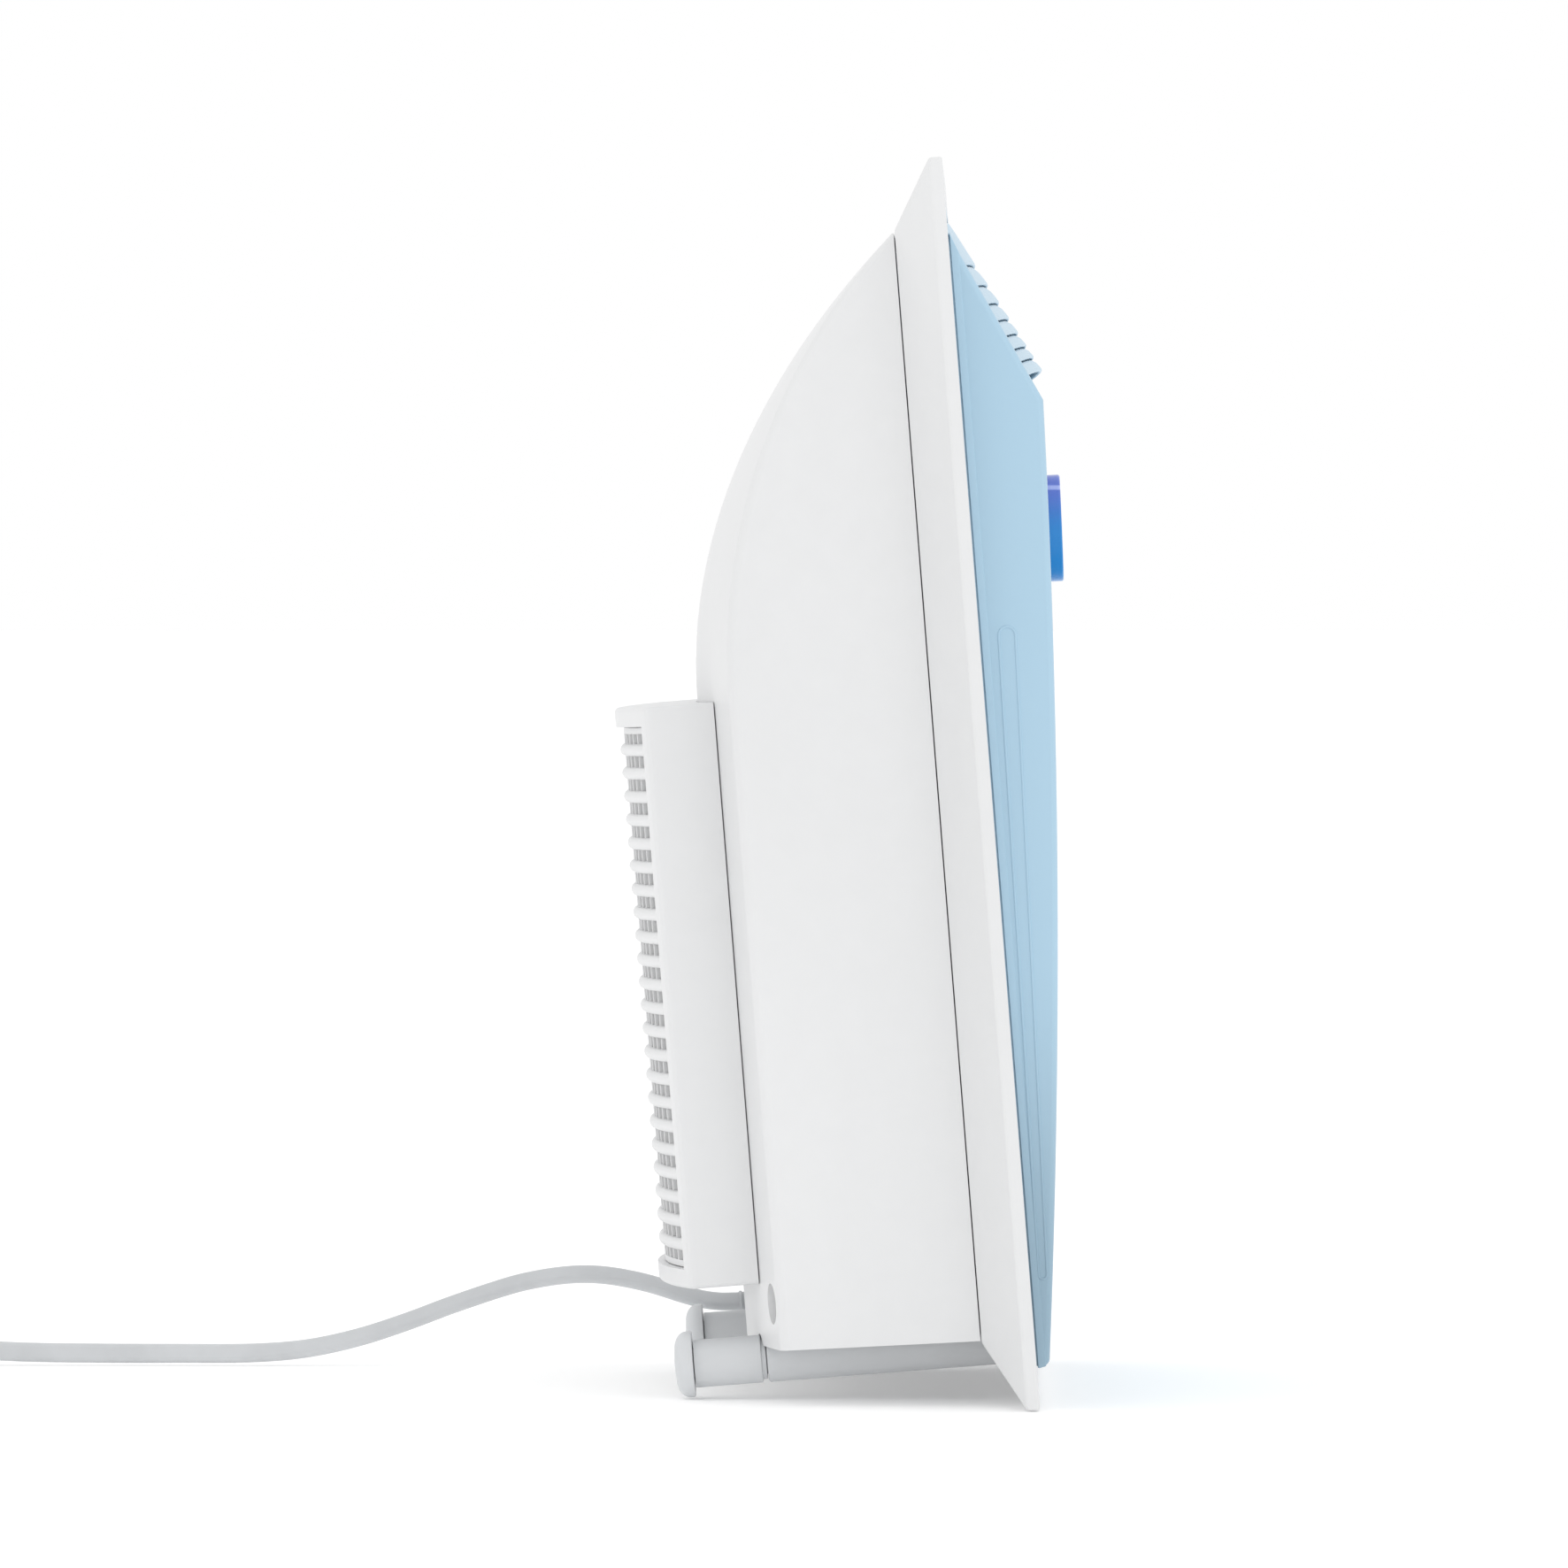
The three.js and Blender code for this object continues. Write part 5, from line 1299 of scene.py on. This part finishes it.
def coil_point(turns):
    """A point of the wound cord, in the row's millimetres, after so many turns."""
    out_from = COIL_IN + COIL_UP
    if turns < COIL_IN:
        radius = COIL_OUTER - COIL_PITCH * turns
    elif turns < out_from:
        radius = COIL_INNER
    else:
        radius = COIL_INNER + COIL_PITCH * (turns - out_from)
    climb = min(1.0, max(0.0, (turns - COIL_IN) / COIL_UP))
    climb = climb * climb * (3 - 2 * climb)
    angle = 2 * math.pi * turns
    return Vector(
        (
            COIL_X + radius * math.cos(angle),
            COIL_Y + radius * math.sin(angle),
            COIL_LOW + (COIL_HIGH - COIL_LOW) * climb,
        )
    )


def smooth_line(points, parts):
    """Points along a smooth curve through the given ones."""
    line = []
    count = len(points)
    for i in range(count - 1):
        a, b = points[max(0, i - 1)], points[i]
        c, d = points[i + 1], points[min(count - 1, i + 2)]
        for k in range(parts):
            t = k / parts
            line.append(
                0.5
                * (
                    2 * b
                    + (c - a) * t
                    + (2 * a - 5 * b + 4 * c - d) * t**2
                    + (3 * b - a - 3 * c + d) * t**3
                )
            )
    return line + [points[-1]]


def cord_section():
    """Outline of the twin cord: two round cores side by side in one sheath."""
    core = CORD_THICK / 2
    centre = (CORD_WIDE - CORD_THICK) / 2
    steps, sweep = 8, 150
    points = []
    for side, start in ((1, -75), (-1, 105)):
        for i in range(steps + 1):
            a = math.radians(start + sweep * i / steps)
            points.append((side * centre + core * math.cos(a), core * math.sin(a)))
    return points


def cord_tube(line, tilts):
    """A tube of the cord's section along a line; tilt turns its wide side up from level."""
    section = cord_section()
    rings = []
    count = len(line)
    for i, at in enumerate(line):
        ahead = (line[min(count - 1, i + 1)] - line[max(0, i - 1)]).normalized()
        level = ahead.cross(Vector((0, 0, 1))).normalized()
        rise = level.cross(ahead).normalized()
        tilt = math.radians(tilts[i])
        wide = level * math.cos(tilt) + rise * math.sin(tilt)
        thin = wide.cross(ahead).normalized()
        rings.append([tuple(at + wide * w + thin * t) for w, t in section])
    return loft(rings)


def rounded_rectangle(a0, a1, b0, b1, radius, steps=5):
    corners = [(a1, b1, 0), (a0, b1, 90), (a0, b0, 180), (a1, b0, 270)]
    points = []
    for a, b, start in corners:
        ca = a - radius if a == a1 else a + radius
        cb = b - radius if b == b1 else b + radius
        for i in range(steps + 1):
            turn = math.radians(start + 90 * i / steps)
            points.append((ca + radius * math.cos(turn), cb + radius * math.sin(turn)))
    return points


def build_cord(turns):
    route = [Vector(p) for p in CORD_ROUTE]
    coil = [coil_point(turns * i / (turns * 24)) for i in range(int(turns * 24) + 1)]
    start_x = COIL_X - math.sqrt((COIL_OUTER + 2) ** 2 - COIL_MIDDLE**2) - 3
    tail = [
        Vector((start_x, TAIL_Y, 8)),
        Vector((start_x - 10, TAIL_Y, 7.8)),
        Vector((start_x - 22, TAIL_Y, 7.4)),
        Vector((PLUG_TAIL - 4, TAIL_Y, PLUG_MIDDLE)),
    ]
    line = smooth_line(route + [coil[0]], 4)[:-1] + coil[:-1] + smooth_line([coil[-1]] + tail, 5)
    tilts = []
    for at in line:
        share = min(1.0, max(0.0, (at.y - 110) / 110))
        tilts.append(50 + 40 * share * share * (3 - 2 * share))
    metres = Matrix.Scale(MM, 4)
    tube = cord_tube(line, tilts)
    cord = finished(
        "mains_flex",
        [tube],
        "housing",
        sheath_rubber(),
        ["mains_cord", "cord_coil", "cord_tail"],
        matrix=metres,
        smooth=50,
    )
    tie = build_tie()
    plug = build_plug()
    pins = [build_pin(name, side) for name, side in SIDES]
    path = [metres @ at for at in line]


def build_tie():
    """A soft band round the bundle."""
    inner, outer = COIL_INNER - 2.4, COIL_OUTER + 2.2
    low, high = 1.1, COIL_HIGH + CORD_WIDE / 2 + 0.4
    outline_in = rounded_rectangle(inner, outer, low, high, 1.8)
    outline_out = rounded_rectangle(
        inner - TIE_THICK, outer + TIE_THICK, low - TIE_THICK, high + TIE_THICK, 2.6
    )
    half = TIE_WIDTH / 2
    rings = [
        [(a, -half, b) for a, b in outline_in],
        [(a, -half, b) for a, b in outline_out],
        [(a, half, b) for a, b in outline_out],
        [(a, half, b) for a, b in outline_in],
    ]
    band = rounded(loft(rings, closed=True), 0.25, 60, 2)
    turned = Matrix.Translation((COIL_X, COIL_Y, 0)) @ Matrix.Rotation(-math.pi * 0.75, 4, "Z")
    material = finish("soft_tie_band", woven_tie, (0.78, 0.78, 0.79))
    return finished(
        "bundle_tie",
        [band],
        "housing",
        material,
        ["cord_tie"],
        matrix=Matrix.Scale(MM, 4) @ turned,
    )


def build_plug():
    """A slim moulded plug: a ribbed neck that widens into a flat body."""
    start = PLUG_TAIL - GAP
    sizes = [
        (0, 7.2, 6.2),
        (3, 7.6, 6.6),
        (8, 10, 8.4),
        (14, 17, 11.6),
        (20, 25, 13.6),
        (26, 31.5, 14),
        (32, 34.6, 14),
        (35.5, 34.6, 13.6),
        (PLUG_LENGTH, 32.6, 12),
    ]
    rings = []
    for i in range(49):
        along = PLUG_LENGTH * i / 48
        k = max(j for j in range(len(sizes) - 1) if sizes[j][0] <= along + 1e-6)
        (p, w0, t0), (q, w1, t1) = sizes[k], sizes[k + 1]
        share = (along - p) / (q - p)
        wide, thick = w0 + (w1 - w0) * share, t0 + (t1 - t0) * share
        if 1.5 < along < 9 and i % 2:
            wide, thick = wide - 0.8, thick - 0.8
        ring = rounded_rectangle(
            -wide / 2, wide / 2, -thick / 2, thick / 2, min(wide, thick) * 0.42
        )
        rings.append([(start - along, TAIL_Y + a, PLUG_MIDDLE + b) for a, b in ring])
    body = loft(rings)
    return finished(
        "mains_plug",
        [body],
        "housing",
        sheath_rubber(),
        ["plug_body"],
        matrix=Matrix.Scale(MM, 4),
        smooth=40,
    )


def build_pin(name, side):
    """A round plug pin with a rounded tip."""
    end = PLUG_LENGTH + GAP
    profile = [(0, end - 4), (PIN_RADIUS, end - 4), (PIN_RADIUS, end + PIN_LENGTH - 2)]
    for i in range(1, 7):
        turn = math.radians(90 * i / 6)
        profile.append((PIN_RADIUS * math.cos(turn), end + PIN_LENGTH - 2 + 2 * math.sin(turn)))
    profile[-1] = (0, end + PIN_LENGTH)
    pin = lathe(profile, 0, 0, 32)
    turned = (
        Matrix.Translation((PLUG_TAIL, TAIL_Y + side * PIN_PITCH / 2, PLUG_MIDDLE))
        @ Matrix.Rotation(math.pi / 2, 4, "Z")
    )
    material = finish("nickel_pin_metal", drawn_metal, (0.78, 0.77, 0.73), 0.2, (40, 1, 1))
    return finished(
        "mains_pin_" + name,
        [pin],
        "housing",
        material,
        ["plug_pin_" + name],
        matrix=Matrix.Scale(MM, 4) @ turned,
    )


# ------------------------------------------------------------------ inner parts


def dress_inner_parts():
    """Gives every CAD part that stays in view its own finish."""
    board = finish("green_circuit_board", circuit_board, (0.02, 0.16, 0.07))
    nylon = finish("black_fan_nylon", filled_nylon, (0.018, 0.018, 0.02))
    steel = finish("ground_shaft_steel", drawn_metal, (0.66, 0.66, 0.68), 0.22, (1, 40, 1))
    comb = finish("bright_comb_steel", drawn_metal, (0.70, 0.71, 0.72), 0.25, (40, 1, 1))
    inner = finish(
        "white_inner_plastic", moulded_plastic, (0.70, 0.71, 0.72), roughness=0.55, gloss=0.0
    )
    finishes = {
        "switch_plunger": nylon,
        "tact_switch": nylon,
        "control_board": board,
        "power_board": board,
        "filter_frame": finish("filter_frame_card", pressed_card, (0.78, 0.78, 0.74)),
        "filter_media": finish("pleated_filter_fleece", pleated_fleece, (0.80, 0.81, 0.79)),
        "chassis_plate": inner,
        "fan_housing": nylon,
        "fan_stator": nylon,
        "fan_rotor": nylon,
        "fan_shaft": steel,
        "transformer": finish("varnished_transformer", laminated_core, (0.10, 0.09, 0.08)),
        "hv_module": finish("black_potting_resin", potting_resin, (0.02, 0.02, 0.025)),
        "electrode_holder": inner,
        "discharge_comb": comb,
        "ground_grid": comb,
        "cord_clamp": inner,
    }
    for name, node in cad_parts.items():
        if node.hide_render:
            continue
        chosen = zinc_steel() if "screw" in name else finishes[name]
        node.data.materials.clear()
        node.data.materials.append(chosen)


# ------------------------------------------------------------------ stage


def area_light(name, at, target, size, power, colour=(1, 1, 1)):
    light = bpy.data.lights.new(name, "AREA")
    light.shape = "RECTANGLE"
    light.size, light.size_y = size
    light.energy = power
    light.color = colour
    lamp = bpy.data.objects.new(name, light)
    lamp.location = at
    lamp.rotation_euler = (Vector(target) - Vector(at)).to_track_quat("-Z", "Y").to_euler()
    bpy.context.scene.collection.objects.link(lamp)
    return lamp


def build_floor():
    """A wide pale floor under a white sky."""
    reach, below = 40.0, -0.0004
    corners = [(-reach, -reach), (reach, -reach), (reach, reach), (-reach, reach)]
    floor = made([(x, y, below) for x, y in corners], [(0, 1, 2, 3)])
    floor.name = "floor"
    floor.data.materials.append(
        finish("studio_paper", backdrop_paper, tuple(colours().backdrop))
    )


# The camera stands on the unit's left (-X). Places are in metres, with y counted
# from the front of the frame; the lens and its sensor are in millimetres.
SENSOR_WIDTH, LENS_LENGTH = 36, 288
CLIP_NEAR, CLIP_FAR = 0.1, 60
CAMERA_X, CAMERA_Y, CAMERA_Z = -3.31, 0.0114, 0.2148
TARGET_X, TARGET_Y, TARGET_Z = -0.11, 0.0654, 0.16


def build_camera():
    """A long lens from the unit's left side, a little above its middle."""
    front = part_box("front_frame")[0].y
    data = bpy.data.cameras.new("side camera")
    data.sensor_width = SENSOR_WIDTH
    data.lens = LENS_LENGTH
    data.clip_start, data.clip_end = CLIP_NEAR, CLIP_FAR
    camera = bpy.data.objects.new("side camera", data)
    camera.location = (CAMERA_X, front + CAMERA_Y, CAMERA_Z)
    target = Vector((TARGET_X, front + TARGET_Y, TARGET_Z))
    camera.rotation_euler = (target - camera.location).to_track_quat("-Z", "Y").to_euler()
    bpy.context.scene.collection.objects.link(camera)
    bpy.context.scene.camera = camera


def build_world():
    world = bpy.data.worlds.new("soft studio")
    world.use_nodes = True
    ground = world.node_tree.nodes["Background"]
    ground.inputs["Color"].default_value = (1, 1, 1, 1)
    ground.inputs["Strength"].default_value = 1.0
    bpy.context.scene.world = world
    bpy.context.scene.view_settings.view_transform = "Standard"
    bpy.context.scene.view_settings.look = "None"


# ------------------------------------------------------------------ operators


class PURIFIER_OT_front_frame(bpy.types.Operator):
    """Build the flared front frame"""

    bl_idname = "purifier.front_frame"
    bl_label = "Front Frame"

    def execute(self, context):
        build_front_frame(context.scene.purifier_sizes.rim_fillet / MM)
        return {"FINISHED"}


class PURIFIER_OT_rear_shell(bpy.types.Operator):
    """Build the crowned rear shell with its screw pockets"""

    bl_idname = "purifier.rear_shell"
    bl_label = "Rear Shell"

    def execute(self, context):
        build_rear_shell()
        return {"FINISHED"}


class PURIFIER_OT_front_cover(bpy.types.Operator):
    """Build the blue front cover with its oval ridges"""

    bl_idname = "purifier.front_cover"
    bl_label = "Front Cover"

    def execute(self, context):
        build_front_cover(context.scene.purifier_sizes.cover_fillet / MM)
        return {"FINISHED"}


class PURIFIER_OT_louver(bpy.types.Operator):
    """Build the stepped outlet louver"""

    bl_idname = "purifier.louver"
    bl_label = "Outlet Louver"

    def execute(self, context):
        build_louver()
        return {"FINISHED"}


class PURIFIER_OT_power_button(bpy.types.Operator):
    """Build the lit power lens"""

    bl_idname = "purifier.power_button"
    bl_label = "Power Button"

    def execute(self, context):
        build_power_button()
        return {"FINISHED"}


class PURIFIER_OT_filter(bpy.types.Operator):
    """Build the filter cover and its intake grille"""

    bl_idname = "purifier.filter"
    bl_label = "Filter Cover and Grille"

    def execute(self, context):
        sizes = context.scene.purifier_sizes
        build_filter_cover()
        build_intake_grille(sizes.slats, sizes.ribs)
        return {"FINISHED"}


class PURIFIER_OT_legs(bpy.types.Operator):
    """Build the two rear legs"""

    bl_idname = "purifier.legs"
    bl_label = "Legs"

    def execute(self, context):
        build_legs()
        return {"FINISHED"}


class PURIFIER_OT_fixings(bpy.types.Operator):
    """Build the case screws and the strain relief"""

    bl_idname = "purifier.fixings"
    bl_label = "Screws and Strain Relief"

    def execute(self, context):
        build_case_screws()
        build_strain_relief()
        return {"FINISHED"}


class PURIFIER_OT_cord(bpy.types.Operator):
    """Build the mains cord with its tie, plug and pins"""

    bl_idname = "purifier.cord"
    bl_label = "Mains Cord"

    def execute(self, context):
        build_cord(context.scene.purifier_sizes.coil_turns)
        return {"FINISHED"}


class PURIFIER_OT_inner_parts(bpy.types.Operator):
    """Finish the inner parts that come from the CAD frame"""

    bl_idname = "purifier.inner_parts"
    bl_label = "Inner Parts"

    def execute(self, context):
        dress_inner_parts()
        return {"FINISHED"}


class PURIFIER_OT_stage(bpy.types.Operator):
    """Set up the floor, the lights and the camera"""

    bl_idname = "purifier.stage"
    bl_label = "Stage"

    def execute(self, context):
        build_floor()
        build_world()
        build_camera()
        area_light("overhead softbox", (-0.3, -0.2, 2.4), (0, 0, 0.1), (2.4, 2.4), 5)
        area_light("side softbox", (-2.2, -1.5, 1.3), (0, 0, 0.15), (1.6, 1.6), 3)
        return {"FINISHED"}


OPERATORS = (
    PURIFIER_OT_stage,
    PURIFIER_OT_cord,
    PURIFIER_OT_front_frame,
    PURIFIER_OT_rear_shell,
    PURIFIER_OT_front_cover,
    PURIFIER_OT_louver,
    PURIFIER_OT_power_button,
    PURIFIER_OT_filter,
    PURIFIER_OT_legs,
    PURIFIER_OT_fixings,
    PURIFIER_OT_inner_parts,
)


class PURIFIER_PT_panel(bpy.types.Panel):
    """Lists the purifier's build steps and settings"""

    bl_idname = "PURIFIER_PT_panel"
    bl_label = "Air Purifier"
    bl_space_type = "VIEW_3D"
    bl_region_type = "UI"
    bl_category = "Purifier"

    def draw(self, context):
        column = self.layout.column(align=True)
        for name in PurifierSizes.__annotations__:
            column.prop(context.scene.purifier_sizes, name)
        for name in PurifierColours.__annotations__:
            column.prop(context.scene.purifier_colours, name)
        for operator in OPERATORS:
            column.operator(operator.bl_idname)


CLASSES = (PurifierSizes, PurifierColours, *OPERATORS, PURIFIER_PT_panel)


def register():
    for item in CLASSES:
        bpy.utils.register_class(item)
    bpy.types.Scene.purifier_sizes = PointerProperty(type=PurifierSizes)
    bpy.types.Scene.purifier_colours = PointerProperty(type=PurifierColours)


def unregister():
    del bpy.types.Scene.purifier_colours
    del bpy.types.Scene.purifier_sizes
    for item in reversed(CLASSES):
        bpy.utils.unregister_class(item)


def main():
    register()
    for operator in OPERATORS:
        group, name = operator.bl_idname.split(".")
        getattr(getattr(bpy.ops, group), name)()


if __name__ == "__main__":
    main()
